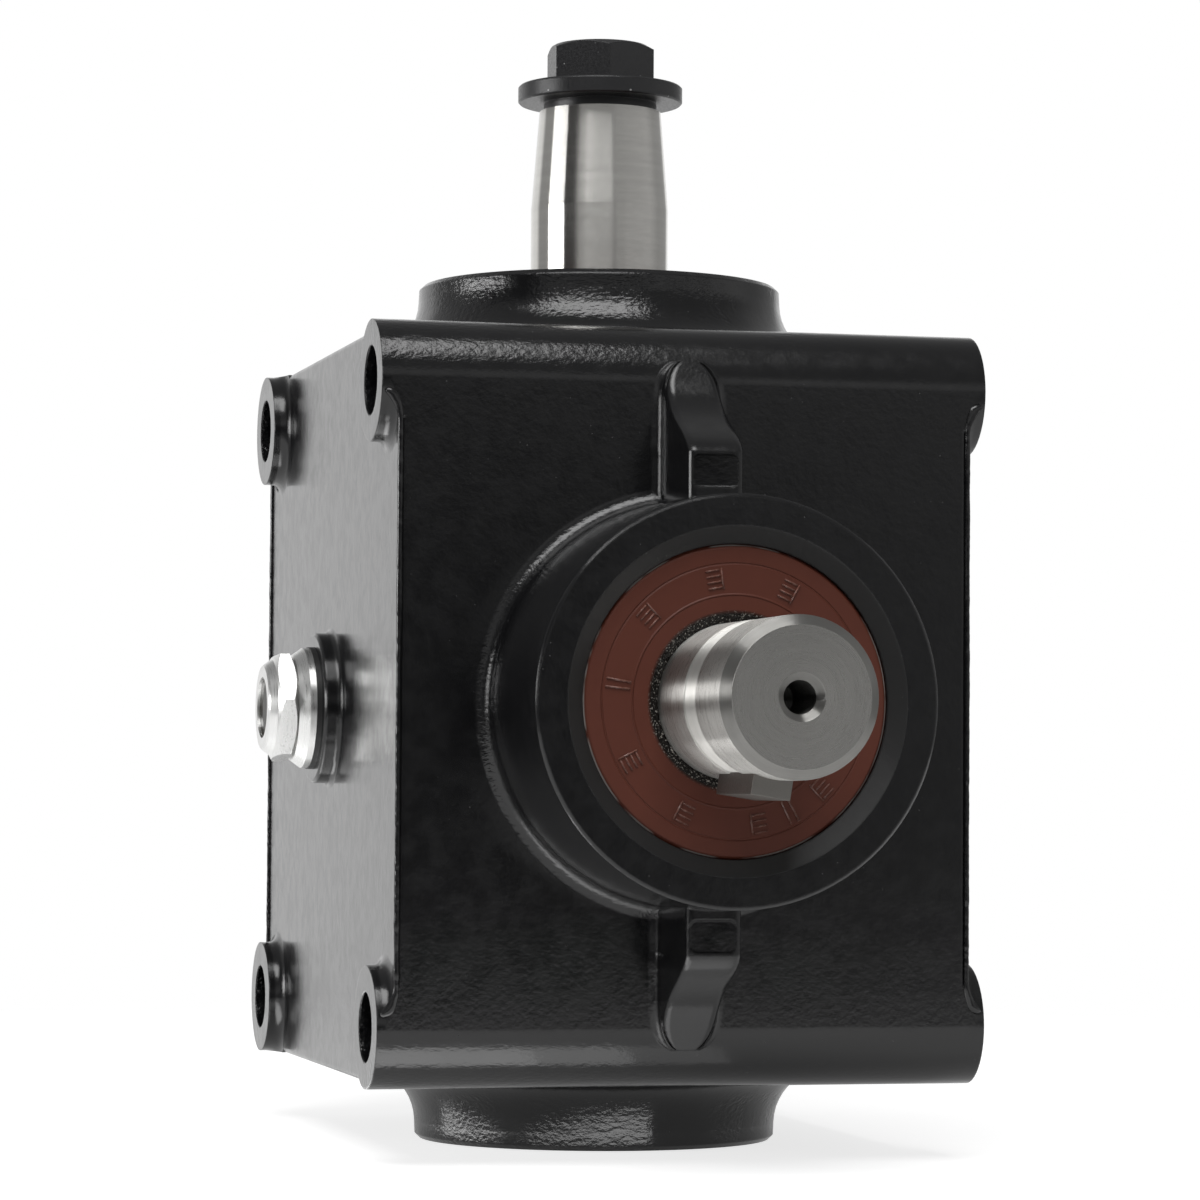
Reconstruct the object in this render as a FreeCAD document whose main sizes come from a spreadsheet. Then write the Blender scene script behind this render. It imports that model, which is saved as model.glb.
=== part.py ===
# Mower deck gearbox: a right-angle bevel drive in a cast box, piece by piece, in millimetres.
# Origin where the two shaft axes cross. +Z runs up the tapered output shaft, -Y runs forward
# along the keyed input shaft, and +X runs across the box along its four bolt tubes.
import FreeCAD, Part
import math
import os
from types import SimpleNamespace

import Sketcher

doc = FreeCAD.newDocument("gearbox")

# Driving dimensions: name, value, meaning
DIMENSIONS = [
    # Cast box and its bolt tubes
    ("tube_pitch", 107.95, "square spacing of the four bolt tubes"),
    ("tube_radius", 10.3, "bolt tube, outside"),
    ("tube_hole_radius", 5.9, "bolt tube, hole"),
    ("tube_length", 104.8, "bolt tube, end to end"),
    ("box_width", 98.4, "box across its side faces"),
    ("side_wall", 8.0, "thickness of the side walls"),
    ("chamber_side", 108.0, "gear chamber, height and depth"),
    ("chamber_corner", 25.0, "gear chamber, corner radius"),
    ("front_fillet", 2.5, "fillet where the front boss meets the box"),
    ("end_fillet", 10.0, "fillet where the top and bottom bosses meet the box"),
    ("tube_fillet", 2.0, "flare where a tube end meets the side face"),
    ("edge_round", 1.0, "rounding of the side faces"),
    ("seat_radius", 31.0, "inner bearing seats, outside"),
    # Front boss and its bore
    ("front_reach", 96.7, "front boss face from the origin"),
    ("front_radius", 33.45, "front boss at its face"),
    ("boss_draft", 0.55, "extra boss radius at the box"),
    ("front_edge", 0.4, "edge break of the front boss face"),
    ("mouth_wide", 2.8, "lead-in of the seal bore, across"),
    ("mouth_deep", 2.0, "lead-in of the seal bore, depth"),
    ("front_seal_bore", 25.4, "seal bore radius in the front boss"),
    ("front_seal_floor", 85.0, "floor of the seal bore from the origin"),
    ("front_bore", 23.5, "bearing bore radius in the front boss"),
    ("front_seat_floor", 45.1, "shoulder behind the rear input bearing"),
    ("front_seat_end", 42.6, "inner end of the front bearing seat"),
    ("front_seat_hole", 20.0, "hole through the shoulder, radius"),
    # Top and bottom bosses and their bores
    ("end_reach", 77.0, "top and bottom boss faces from the origin"),
    ("top_radius", 32.8, "top boss at its face"),
    ("bottom_radius", 32.4, "bottom boss at its face"),
    ("end_edge", 0.8, "edge break of the top and bottom boss faces"),
    ("end_bore", 26.0, "bearing bore radius in both end bosses"),
    ("end_seat_floor", 52.0, "bearing shoulder from the origin"),
    ("end_seat_end", 48.0, "inner end of the bearing seats"),
    ("top_seat_hole", 22.0, "hole through the top shoulder, radius"),
    # Gusset ribs above and below the front boss
    ("rib_half", 4.65, "half width of a rib at its crest"),
    ("rib_lean", 0.2, "extra half width of a rib at its foot"),
    ("rib_foot", 1.6, "fillet along the foot of a rib"),
    ("rib_crown", 1.1, "rounding along the crest of a rib"),
    ("rib_root", 3.0, "hidden depth of a rib in the box wall"),
    ("rib_start", 25.5, "hidden end of a rib inside the front boss"),
    ("rib_height", 18.0, "flat crest above the front face"),
    ("rib_flat_end", 41.3, "height where the crest starts to slope"),
    ("rib_slope", 46.0, "height half-way up the slope"),
    ("rib_slope_height", 11.3, "crest above the front face half-way up the slope"),
    ("rib_toe", 50.6, "height where the slope eases off"),
    ("rib_toe_height", 4.6, "crest above the front face at the toe"),
    ("rib_nose", 54.4, "height where the toe starts to round off"),
    ("rib_nose_height", 2.0, "crest above the front face at the nose"),
    ("rib_nose_share", 0.88, "width and roundings at the nose, share of the full ones"),
    ("rib_tip", 57.6, "height of the end of the toe"),
    ("rib_tip_height", 0.5, "crest above the front face at the end"),
    ("rib_tip_share", 0.36, "width and roundings at the end, share of the full ones"),
    ("rib_pocket_wide", 7.6, "pocket in the crest, across"),
    ("rib_pocket_low", 35.4, "pocket in the crest, end near the boss"),
    ("rib_pocket_high", 40.7, "pocket in the crest, far end"),
    ("rib_pocket_deep", 1.9, "pocket in the crest, depth at its deep side"),
    ("rib_pocket_tilt", 14.0, "slope of the pocket floor, degrees"),
    ("rib_pocket_corner", 1.2, "pocket in the crest, corner radius"),
    # Sight plug and its boss on the side face
    ("plug_boss", 13.4, "plug boss radius"),
    ("plug_thread", 8.0, "plug thread radius"),
    ("plug_seal_outer", 10.9, "sealing ring, outside"),
    ("plug_seal_inner", 8.2, "sealing ring, inside"),
    ("plug_seal_thick", 0.9, "sealing ring, thickness"),
    ("plug_flange", 10.7, "plug flange radius"),
    ("plug_flange_thick", 1.1, "plug flange rim, thickness"),
    ("plug_shoulder", 9.4, "plug shoulder radius at the hexagon"),
    ("plug_shoulder_long", 1.8, "plug shoulder, length"),
    ("plug_flats", 18.0, "plug hexagon across flats"),
    ("plug_hex_long", 3.7, "plug hexagon, length"),
    ("plug_collar", 8.6, "plug collar radius at the hexagon"),
    ("plug_collar_end", 7.7, "plug collar radius at its end"),
    ("plug_collar_long", 1.5, "plug collar, length"),
    ("window_radius", 5.4, "sight window radius"),
    ("window_recess", 0.5, "sight window below the collar end"),
    ("window_thick", 3.0, "sight glass thickness"),
    ("window_gap", 4.0, "oil space between glass and reflector"),
    ("reflector_thick", 0.6, "reflector disc thickness"),
    ("plug_oil_hole", 3.0, "oil hole behind the reflector"),
    # Input shaft and key
    ("input_radius", 12.7, "seal journal and keyed end"),
    ("input_reach", 132.0, "shaft end from the origin"),
    ("input_end_chamfer", 1.6, "chamfer of the shaft end"),
    ("relief_start", 109.2, "relief band, seal side"),
    ("relief_end", 116.4, "relief band, key side"),
    ("relief_deep", 0.25, "relief band, depth"),
    ("bearing_radius", 12.5, "bearing seats of both shafts"),
    ("collar_radius", 15.0, "locating collars of both shafts"),
    ("input_collar_end", 84.4, "front end of the input collar"),
    ("pinion_seat", 10.0, "input shaft inside the pinion"),
    ("input_nose", 14.8, "inner end of the input shaft from the origin"),
    ("centre_hole", 2.65, "centre hole radius"),
    ("centre_sink", 3.8, "centre hole countersink radius"),
    ("centre_deep", 14.0, "centre hole depth"),
    ("key_wide", 6.35, "square input key"),
    ("key_top", 15.5, "crest of the input key from the axis"),
    ("key_near", 103.0, "inner end of the input key"),
    ("key_far", 123.2, "outer end of the input key"),
    ("key_turn", 9.0, "key angle from straight down, degrees"),
    # Output shaft, washer and bolt
    ("taper_start", 91.4, "foot of the taper from the origin"),
    ("taper_end", 109.4, "top of the output shaft from the origin"),
    ("taper_slope", 12.8, "taper: length for one unit of radius"),
    ("waist_radius", 13.5, "output shaft past the pinion"),
    ("gear_stop", 18.5, "shoulder above the gear, below the origin"),
    ("output_foot", 70.0, "lower end of the output shaft, below the origin"),
    ("bolt_radius", 6.0, "bolt shank"),
    ("bolt_long", 34.0, "bolt shank below its head"),
    ("bolt_flats", 18.0, "bolt head across flats"),
    ("bolt_head", 7.5, "bolt head height"),
    ("washer_radius", 15.0, "washer rim"),
    ("washer_hub", 10.3, "washer hub"),
    ("washer_hub_thick", 1.6, "washer hub below the rim"),
    ("washer_rim_thick", 3.1, "washer rim thickness"),
    ("washer_hole", 6.4, "washer hole radius"),
    # Bevel gears, equal pair
    ("gear_module", 2.5, "tooth module at the large end"),
    ("gear_teeth", 19, "teeth of each gear"),
    ("gear_face", 8.0, "tooth length"),
    ("gear_backlash", 0.2, "tooth play on the pitch line"),
    ("gear_hub", 18.5, "gear hub radius"),
    ("gear_hub_end", 40.0, "gear hub end from the origin"),
    ("pinion_hub", 17.0, "pinion hub radius"),
    ("pinion_hub_end", 40.5, "pinion hub end from the origin"),
    ("inner_key_wide", 6.0, "square gear keys"),
    ("inner_key_grip", 2.5, "gear key above the shaft"),
    ("pinion_front", 17.5, "pinion bore face from the origin"),
    ("pinion_key_low", 24.0, "pinion key, inner end"),
    ("pinion_key_high", 38.0, "pinion key, outer end"),
    ("gear_key_low", 21.0, "gear key, inner end"),
    ("gear_key_high", 38.0, "gear key, outer end"),
    ("gear_spacer_radius", 16.0, "sleeve between gear and bearing, outside"),
    # Tapered roller bearings
    ("end_bearing_wide", 15.0, "output bearings, width"),
    ("front_bearing_wide", 12.0, "input bearings, width"),
    ("input_spacing", 13.05, "gap between the input bearings"),
    ("input_spacer_radius", 15.5, "inner spacer sleeve, outside"),
    ("outer_spacer_thick", 3.0, "outer spacer sleeve, wall"),
    ("roller_tilt", 12.5, "lean of the roller axes, degrees"),
    ("roller_point", 1.9, "half angle of a roller's own taper, degrees"),
    ("roller_share", 0.62, "roller length over bearing width"),
    ("roller_plump", 0.215, "roller radius over bearing height"),
    ("roller_gap", 0.04, "play between roller and race"),
    ("flange_rise", 1.2, "inner ring flange above the race"),
    ("flange_play", 0.15, "play at the thick roller ends"),
    ("lip_rise", 0.8, "inner ring lip above the race"),
    ("lip_thick", 1.4, "inner ring lip, thickness"),
    ("lip_play", 0.45, "play at the thin roller ends"),
    ("cage_thick", 1.0, "cage band thickness"),
    ("cage_rim", 1.1, "cage past the roller ends"),
    ("cage_play", 0.2, "play between cage and rollers"),
    # Seals and rings
    ("running_gap", 0.03, "seal lip to shaft"),
    ("front_seal_face", 94.5, "outer face of the front seal from the origin"),
    ("top_seal_floor", 69.5, "inner face of the top seal from the origin"),
    ("top_seal_face", 76.5, "outer face of the top seal from the origin"),
    ("seal_edge", 0.6, "seal edge chamfer"),
    ("seal_mouth", 1.9, "seal face opening outside the shaft"),
    ("seal_dust", 1.0, "dust lip below the seal face"),
    ("seal_land", 0.4, "contact width of the dust lip"),
    ("seal_waist", 1.7, "hollow between the lips outside the shaft"),
    ("seal_hollow", 2.4, "web below the seal face"),
    ("seal_back", 3.2, "hollow between the lips, depth"),
    ("seal_web", 3.0, "lip back outside the shaft"),
    ("seal_shell", 3.0, "seal shell wall"),
    ("seal_lip_share", 0.28, "lip end over the seal thickness"),
    ("spring_radius", 0.75, "garter spring wire ring"),
    ("circlip_thick", 2.0, "rings in the box"),
    ("clip_groove", 1.5, "ring groove depth in the box"),
    ("clip_reach", 3.0, "ring inside the bore"),
    ("clip_thin", 1.2, "rings on the shafts"),
    ("clip_bite", 0.6, "ring groove depth in the shafts"),
    ("clip_stand", 2.4, "ring outside the shaft"),
    ("clip_play", 0.1, "ring play in its groove"),
    ("clip_fit", 0.02, "ring play on a groove floor"),
    ("shim_thick", 0.5, "gear shim"),
    ("cap_floor", 70.5, "inner face of the end cap from the origin"),
    ("cap_recess", 0.5, "end cap below the boss face"),
    ("cap_rim", 3.0, "end cap rim wall"),
    ("cap_dish", 1.0, "end cap dishing"),
    # Small edges
    ("fine_edge", 0.3, "broken edges of small turned pieces"),
    ("shaft_edge", 0.8, "chamfers of hidden shaft ends"),
    ("bore_edge", 1.0, "lead-in of the end bores"),
    ("overlap", 1.0, "hidden run of one feature into the next"),
]


class Size:
    """A number together with the sheet formula that it comes from."""

    def __init__(self, value, formula):
        self.value = value
        self.formula = formula

    def joined(self, other, sign, result):
        return Size(result, f"({self.formula} {sign} {as_size(other).formula})")

    def __add__(self, other):
        return self.joined(other, "+", self.value + as_size(other).value)

    def __radd__(self, other):
        return as_size(other) + self

    def __sub__(self, other):
        return self.joined(other, "-", self.value - as_size(other).value)

    def __rsub__(self, other):
        return as_size(other) - self

    def __mul__(self, other):
        return self.joined(other, "*", self.value * as_size(other).value)

    def __rmul__(self, other):
        return as_size(other) * self

    def __truediv__(self, other):
        return self.joined(other, "/", self.value / as_size(other).value)

    def __neg__(self):
        return as_size(0) - self


def sine(degrees):
    return Size(math.sin(math.radians(degrees.value)), f"sin({degrees.formula})")


def cosine(degrees):
    return Size(math.cos(math.radians(degrees.value)), f"cos({degrees.formula})")


def tangent(degrees):
    return Size(math.tan(math.radians(degrees.value)), f"tan({degrees.formula})")


def as_size(number):
    if isinstance(number, Size):
        return number
    return Size(float(number), repr(float(number)))


def write_sheet():
    """Fill the dimension sheet and return its cells as sizes by name."""
    sheet = doc.addObject("Spreadsheet::Sheet", "Sheet")
    sizes = {}
    for row, (name, value, meaning) in enumerate(DIMENSIONS, start=1):
        sheet.set(f"A{row}", meaning)
        sheet.set(f"B{row}", str(value))
        sheet.setAlias(f"B{row}", name)
        sizes[name] = Size(float(value), f"Sheet.{name}")
    doc.recompute()
    return SimpleNamespace(**sizes)


d = write_sheet()
NODES = []

# Counts, angles and shares that no piece is resized by
ROLLERS_LARGE = 15
ROLLERS_SMALL = 16
PRESSURE_ANGLE = math.radians(20)
TOOTH_ROOT = 1.25
TOOTH_SINK = 0.6
FLANK_STEPS = 4
CIRCLIP_TURN = 330
BOLT_TURN = 25.7
PLUG_TURN = 37
BOLT_TUBES = 4
HEX_FACE_SHARE = 0.95
HEX_CHAMFER = math.radians(30)
TINY = 0.01
X_AXIS = FreeCAD.Vector(1, 0, 0)
Y_AXIS = FreeCAD.Vector(0, 1, 0)
Z_AXIS = FreeCAD.Vector(0, 0, 1)

# Worked out from the driving dimensions
tube_at = d.tube_pitch / 2
box_half = tube_at + d.tube_radius
chamber_half = d.chamber_side / 2
face_x = d.box_width / 2
tube_end = d.tube_length / 2
pitch_radius = d.gear_module * d.gear_teeth / 2
front_clip = d.front_seat_floor + 2 * d.front_bearing_wide + d.input_spacing
end_clip = d.end_seat_floor + d.end_bearing_wide
tilt_sin = sine(d.roller_tilt)
tilt_cos = cosine(d.roller_tilt)
cup_angle = d.roller_tilt + d.roller_point
cone_angle = d.roller_tilt - d.roller_point


def turned_frame(axis, degrees):
    return FreeCAD.Placement(FreeCAD.Vector(), FreeCAD.Rotation(axis, degrees))


def along(frame, distance):
    """The frame moved along its own axis."""
    return frame * FreeCAD.Placement(FreeCAD.Vector(0, 0, distance.value), FreeCAD.Rotation())


# Directions in which a turned piece's own axis points
UP = FreeCAD.Placement()
FORWARD = turned_frame(X_AXIS, 90)
BACKWARD = turned_frame(X_AXIS, -90)
DOWN = turned_frame(X_AXIS, 180)
LEFT = turned_frame(Y_AXIS, -90)
INPUT = FORWARD * turned_frame(Z_AXIS, -d.key_turn.value)
PLUG = LEFT * turned_frame(Z_AXIS, PLUG_TURN)


def bind(thing, place, length):
    """Bind one property of an object to its sheet formula."""
    thing.setExpression(place, as_size(length).formula)


def new_body(label, placement=UP, is_node=True):
    body = doc.addObject("PartDesign::Body", label)
    body.Label = label
    body.Placement = placement
    if is_node:
        NODES.append(body)
    return body


def origin_item(body, role):
    return next(item for item in body.Origin.OriginFeatures if item.Role == role)


def new_sketch(body, plane, offset=None):
    """A sketch on one of the body's own origin planes, lifted along that plane's normal."""
    sketch = body.newObject("Sketcher::SketchObject", f"{body.Name}_sketch")
    sketch.AttachmentSupport = [(origin_item(body, plane), "")]
    sketch.MapMode = "FlatFace"
    if offset is not None:
        bind(sketch, "AttachmentOffset.Base.z", offset)
    return sketch


def arc_between(start, end, centre):
    """Arc of less than half a turn; says whether it runs from start to end anticlockwise."""
    radius = math.dist(start, centre)
    first = math.atan2(start[1] - centre[1], start[0] - centre[0])
    last = math.atan2(end[1] - centre[1], end[0] - centre[0])
    forward = (last - first) % (2 * math.pi) <= math.pi
    low, high = (first, last) if forward else (last, first)
    circle = Part.Circle(FreeCAD.Vector(*centre, 0), FreeCAD.Vector(0, 0, 1), radius)
    return Part.ArcOfCircle(circle, low, high), forward


def draw_outline(sketch, corners):
    """Draw a closed outline, each corner tied to the sheet.

    A corner is (x, y), or (x, y, centre) where an arc about that centre leads to the next corner.
    """
    sizes = [(as_size(corner[0]), as_size(corner[1])) for corner in corners]
    points = [(x.value, y.value) for x, y in sizes]
    ends = []
    for index, corner in enumerate(corners):
        start = points[index]
        end = points[(index + 1) % len(points)]
        if len(corner) == 2:
            line = Part.LineSegment(FreeCAD.Vector(*start, 0), FreeCAD.Vector(*end, 0))
            ends.append((sketch.addGeometry(line), 1, 2))
            continue
        centre = [as_size(value) for value in corner[2]]
        arc, forward = arc_between(start, end, [value.value for value in centre])
        geometry = sketch.addGeometry(arc)
        ends.append((geometry, 1, 2) if forward else (geometry, 2, 1))
        across = abs(end[0] - start[0]) > abs(end[1] - start[1])
        axis, wanted = ("DistanceY", centre[1]) if across else ("DistanceX", centre[0])
        tie(sketch, axis, geometry, 3, wanted)
    for index, (geometry, first, _) in enumerate(ends):
        before, _, last = ends[index - 1]
        sketch.addConstraint(Sketcher.Constraint("Coincident", before, last, geometry, first))
        tie(sketch, "DistanceX", geometry, first, sizes[index][0])
        tie(sketch, "DistanceY", geometry, first, sizes[index][1])


def tie(sketch, kind, geometry, place, length):
    """Hold one coordinate of a sketch point at a sheet formula."""
    index = sketch.addConstraint(Sketcher.Constraint(kind, -1, 1, geometry, place, length.value))
    bind(sketch, f"Constraints[{index}]", length)


def draw_circle(sketch, x, y, radius):
    x, y, radius = as_size(x), as_size(y), as_size(radius)
    circle = Part.Circle(FreeCAD.Vector(x.value, y.value, 0), FreeCAD.Vector(0, 0, 1), radius.value)
    geometry = sketch.addGeometry(circle)
    tie(sketch, "DistanceX", geometry, 3, x)
    tie(sketch, "DistanceY", geometry, 3, y)
    index = sketch.addConstraint(Sketcher.Constraint("Radius", geometry, radius.value))
    bind(sketch, f"Constraints[{index}]", radius)


def rounded_box(half_x, half_y, corner):
    """Corners of a rectangle about the sketch origin with round corners."""
    corners = []
    for sign_x, sign_y in ((1, 1), (-1, 1), (-1, -1), (1, -1)):
        centre = (sign_x * (half_x - corner), sign_y * (half_y - corner))
        side = (sign_x * half_x, centre[1])
        end = (centre[0], sign_y * half_y)
        first, second = (side, end) if sign_x == sign_y else (end, side)
        corners.append((*first, centre))
        corners.append(second)
    return corners


def hexagon(flats):
    """Corners of a hexagon with two flats square to the sketch's vertical axis."""
    half = flats / 2
    reach = half / cosine(as_size(30))
    return [(reach, 0), (reach / 2, half), (-reach / 2, half),
            (-reach, 0), (-reach / 2, -half), (reach / 2, -half)]


def extrude(body, sketch, kind, length, symmetric=False, backwards=False):
    feature = body.newObject(f"PartDesign::{kind}", f"{body.Name}_{kind.lower()}")
    feature.Profile = sketch
    feature.SideType = "Symmetric" if symmetric else "One side"
    feature.Reversed = backwards
    bind(feature, "Length", length)
    return settle(body, feature, kind == "Pocket")


def turn(body, sketch, kind, axis="V_Axis", degrees=360):
    feature = body.newObject(f"PartDesign::{kind}", f"{body.Name}_{kind.lower()}")
    feature.Profile = sketch
    feature.ReferenceAxis = (sketch, [axis])
    feature.Angle = degrees
    return settle(body, feature, kind == "Groove")


def settle(body, feature, removes):
    """Recompute, and make sure that the feature added or removed material as it should."""
    doc.recompute()
    base = feature.BaseFeature
    before = base.Shape.Volume if base else 0.0
    change = feature.Shape.Volume - before
    if (change >= 0) if removes else (change <= 0):
        raise RuntimeError(f"{feature.Name} on {body.Label} changed the volume by {change:.3f}")
    return feature


def repeat_round(body, feature, axis, count):
    pattern = body.newObject("PartDesign::PolarPattern", f"{body.Name}_pattern")
    pattern.Originals = [feature]
    pattern.Axis = (origin_item(body, axis), [""])
    pattern.Angle = 360
    pattern.Occurrences = count
    body.Tip = pattern
    doc.recompute()
    return pattern


def mirror(body, features, plane):
    mirrored = body.newObject("PartDesign::Mirrored", f"{body.Name}_mirror")
    mirrored.Originals = features
    mirrored.MirrorPlane = (origin_item(body, plane), [""])
    body.Tip = mirrored
    doc.recompute()
    return mirrored


def soften(body, kind, place, length, choose):
    """Fillet or chamfer the edges of the body's tip that the test picks."""
    tip = body.Tip
    names = [f"Edge{number}" for number, edge in enumerate(tip.Shape.Edges, start=1) if choose(edge)]
    if not names:
        raise RuntimeError(f"no edge to soften on {body.Label}")
    feature = body.newObject(f"PartDesign::{kind}", f"{body.Name}_{kind.lower()}")
    feature.Base = (tip, names)
    bind(feature, place, length)
    doc.recompute()
    if "Invalid" in feature.State or not feature.Shape.isValid():
        raise RuntimeError(f"{kind} failed on {body.Label}: {len(names)} edges")
    return feature


def is_circle(edge, axis, radius, at):
    """True for a circular edge about a row axis with this radius, in the plane at this coordinate."""
    curve = edge.Curve
    if not isinstance(curve, Part.Circle) or abs(curve.Radius - radius.value) > TINY:
        return False
    return abs(abs(curve.Axis[axis]) - 1) < TINY and abs(curve.Center[axis] - at.value) < TINY


def turned(label, corners, placement=UP, is_node=True):
    """A piece turned about its own axis: corners are (radius, distance along the axis)."""
    body = new_body(label, placement, is_node)
    sketch = new_sketch(body, "XZ_Plane")
    draw_outline(sketch, corners)
    turn(body, sketch, "Revolution")
    return body


def ring(label, inner, outer, low, high, placement):
    return turned(label, [(inner, low), (outer, low), (outer, high), (inner, high)], placement)


# Housing

def make_housing():
    body = new_body("housing")
    block = new_sketch(body, "YZ_Plane")
    draw_outline(block, rounded_box(box_half, box_half, d.tube_radius))
    extrude(body, block, "Pad", d.box_width, symmetric=True)
    soften(body, "Fillet", "Radius", d.edge_round, lambda edge: edge.BoundBox.XLength < TINY)
    add_tubes(body)
    chamber = new_sketch(body, "YZ_Plane")
    draw_outline(chamber, rounded_box(chamber_half, chamber_half, d.chamber_corner))
    extrude(body, chamber, "Pocket", d.box_width - 2 * d.side_wall, symmetric=True)
    add_bosses(body)
    add_ribs(body)
    cut_bores(body)
    soften_casting(body)
    return body


def add_tubes(body):
    """Four bolt tubes with flared feet on the side faces, trimmed flush with the box."""
    wall = tube_at + d.tube_radius
    flare = wall + d.tube_fillet
    sunk = face_x - d.overlap
    rise = face_x + d.tube_fillet
    tube = new_sketch(body, "XY_Plane", tube_at)
    draw_outline(tube, [(-tube_end, tube_at), (-tube_end, wall), (-rise, wall, (-rise, flare)),
                        (-face_x, flare), (-sunk, flare), (-sunk, wall), (sunk, wall), (sunk, flare),
                        (face_x, flare, (rise, flare)), (rise, wall), (tube_end, wall), (tube_end, tube_at)])
    tube_turn = turn(body, tube, "Revolution", sketch_axis(tube, tube_at))
    repeat_round(body, tube_turn, "X_Axis", BOLT_TUBES)
    trim = new_sketch(body, "YZ_Plane")
    draw_outline(trim, square(box_half + 2 * d.tube_radius))
    draw_outline(trim, rounded_box(box_half, box_half, d.tube_radius))
    extrude(body, trim, "Pocket", d.tube_length + d.overlap, symmetric=True)


def sketch_axis(sketch, height):
    """Add a level construction line to turn about, and return its name."""
    line = Part.LineSegment(FreeCAD.Vector(0, height.value, 0), FreeCAD.Vector(1, height.value, 0))
    geometry = sketch.addGeometry(line, True)
    sketch.addConstraint(Sketcher.Constraint("Horizontal", geometry))
    tie(sketch, "DistanceX", geometry, 1, as_size(0))
    tie(sketch, "DistanceY", geometry, 1, height)
    sketch.addConstraint(Sketcher.Constraint("Distance", geometry, line.length()))
    return "Axis0"


def square(half):
    return [(half, half), (-half, half), (-half, -half), (half, -half)]


def add_bosses(body):
    """Round bosses for both shafts, each with its bearing seat inside the chamber, and the plug boss."""
    inside = chamber_half + d.overlap
    front = new_sketch(body, "XY_Plane")
    foot = d.front_radius + d.boss_draft
    draw_outline(front, [(0, -d.front_seat_end), (d.seat_radius, -d.front_seat_end),
                         (d.seat_radius, -inside), (foot, -inside), (foot, -box_half),
                         (d.front_radius, -d.front_reach), (0, -d.front_reach)])
    turn(body, front, "Revolution")
    soften(body, "Fillet", "Radius", d.front_fillet, lambda edge: is_circle(edge, 1, foot, -box_half))
    for side, radius in ((1, d.top_radius), (-1, d.bottom_radius)):
        end = new_sketch(body, "XZ_Plane")
        foot = radius + d.boss_draft
        draw_outline(end, [(0, side * d.end_seat_end), (d.seat_radius, side * d.end_seat_end),
                           (d.seat_radius, side * inside), (foot, side * inside), (foot, side * box_half),
                           (radius, side * d.end_reach), (0, side * d.end_reach)])
        turn(body, end, "Revolution")
        level, reach = side * box_half, side * d.end_reach
        soften(body, "Fillet", "Radius", d.end_fillet, lambda edge: is_circle(edge, 2, foot, level))
        soften(body, "Chamfer", "Size", d.end_edge, lambda edge: is_circle(edge, 2, radius, reach))
    plug = new_sketch(body, "YZ_Plane", -face_x + d.overlap)
    draw_circle(plug, 0, 0, d.plug_boss)
    extrude(body, plug, "Pad", tube_end - face_x + d.overlap, backwards=True)


def add_ribs(body):
    """Gusset ribs: a level crest beside the boss, then a slope that eases into a round toe."""
    stations = [(d.rib_start, d.rib_height, 1), (d.rib_flat_end, d.rib_height, 1),
                (d.rib_slope, d.rib_slope_height, 1), (d.rib_toe, d.rib_toe_height, 1),
                (d.rib_nose, d.rib_nose_height, d.rib_nose_share),
                (d.rib_tip, d.rib_tip_height, d.rib_tip_share)]
    sections = []
    for height, rise, share in stations:
        section = new_sketch(body, "XY_Plane", height)
        draw_outline(section, rib_outline(rise, share))
        sections.append(section)
    crest = add_loft(body, sections[:2], ruled=True)
    slope = add_loft(body, sections[1:], ruled=False)
    pocket = new_sketch(body, "XZ_Plane", box_half + d.rib_height - d.rib_pocket_deep / 2)
    pocket.AttachmentOffset = FreeCAD.Placement(pocket.AttachmentOffset.Base, FreeCAD.Rotation(Y_AXIS, 1))
    bind(pocket, "AttachmentOffset.Rotation.Angle", -d.rib_pocket_tilt)
    middle = (d.rib_pocket_low + d.rib_pocket_high) / 2
    half_tall = (d.rib_pocket_high - d.rib_pocket_low) / 2
    shape = rounded_box(d.rib_pocket_wide / 2, half_tall, d.rib_pocket_corner)
    draw_outline(pocket, [lifted(corner, middle) for corner in shape])
    hollow = extrude(body, pocket, "Pocket", 2 * d.rib_pocket_deep, backwards=True)
    mirror(body, [crest, slope, hollow], "XY_Plane")


def add_loft(body, sections, ruled):
    loft = body.newObject("PartDesign::AdditiveLoft", f"{body.Name}_loft")
    loft.Profile = sections[0]
    loft.Sections = sections[1:]
    loft.Ruled = ruled
    return settle(body, loft, False)


def lifted(corner, height):
    """An outline corner moved up the sketch, with its arc centre if it has one."""
    moved = (corner[0], corner[1] + height)
    if len(corner) == 2:
        return moved
    return (*moved, (corner[2][0], corner[2][1] + height))


def rib_outline(rise, share):
    """Section of a rib across the front face: filleted feet, leaning flanks and a round crest."""
    half = d.rib_half * share
    crown = d.rib_crown * share
    fillet = d.rib_foot * share
    foot_half = half + d.rib_lean
    out = foot_half + fillet
    root = -box_half + d.rib_root
    foot = -box_half - fillet
    crest = -box_half - rise
    shoulder = crest + crown
    inner = half - crown
    return [(-out, root), (out, root), (out, -box_half, (out, foot)), (foot_half, foot),
            (half, shoulder, (inner, shoulder)), (inner, crest),
            (-inner, crest, (-inner, shoulder)), (-half, shoulder),
            (-foot_half, foot, (-out, foot)), (-out, -box_half)]


def bore_outline(hole, start, bore, floor, clip, side):
    """First corners of a bearing bore, from the chamber out past the ring groove."""
    groove = bore + d.clip_groove
    clip_end = clip + d.circlip_thick + d.clip_play
    corners = [(0, start), (hole, start), (hole, floor), (bore, floor), (bore, clip), (groove, clip),
               (groove, clip_end), (bore, clip_end)]
    return [(radius, side * distance) for radius, distance in corners]


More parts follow.
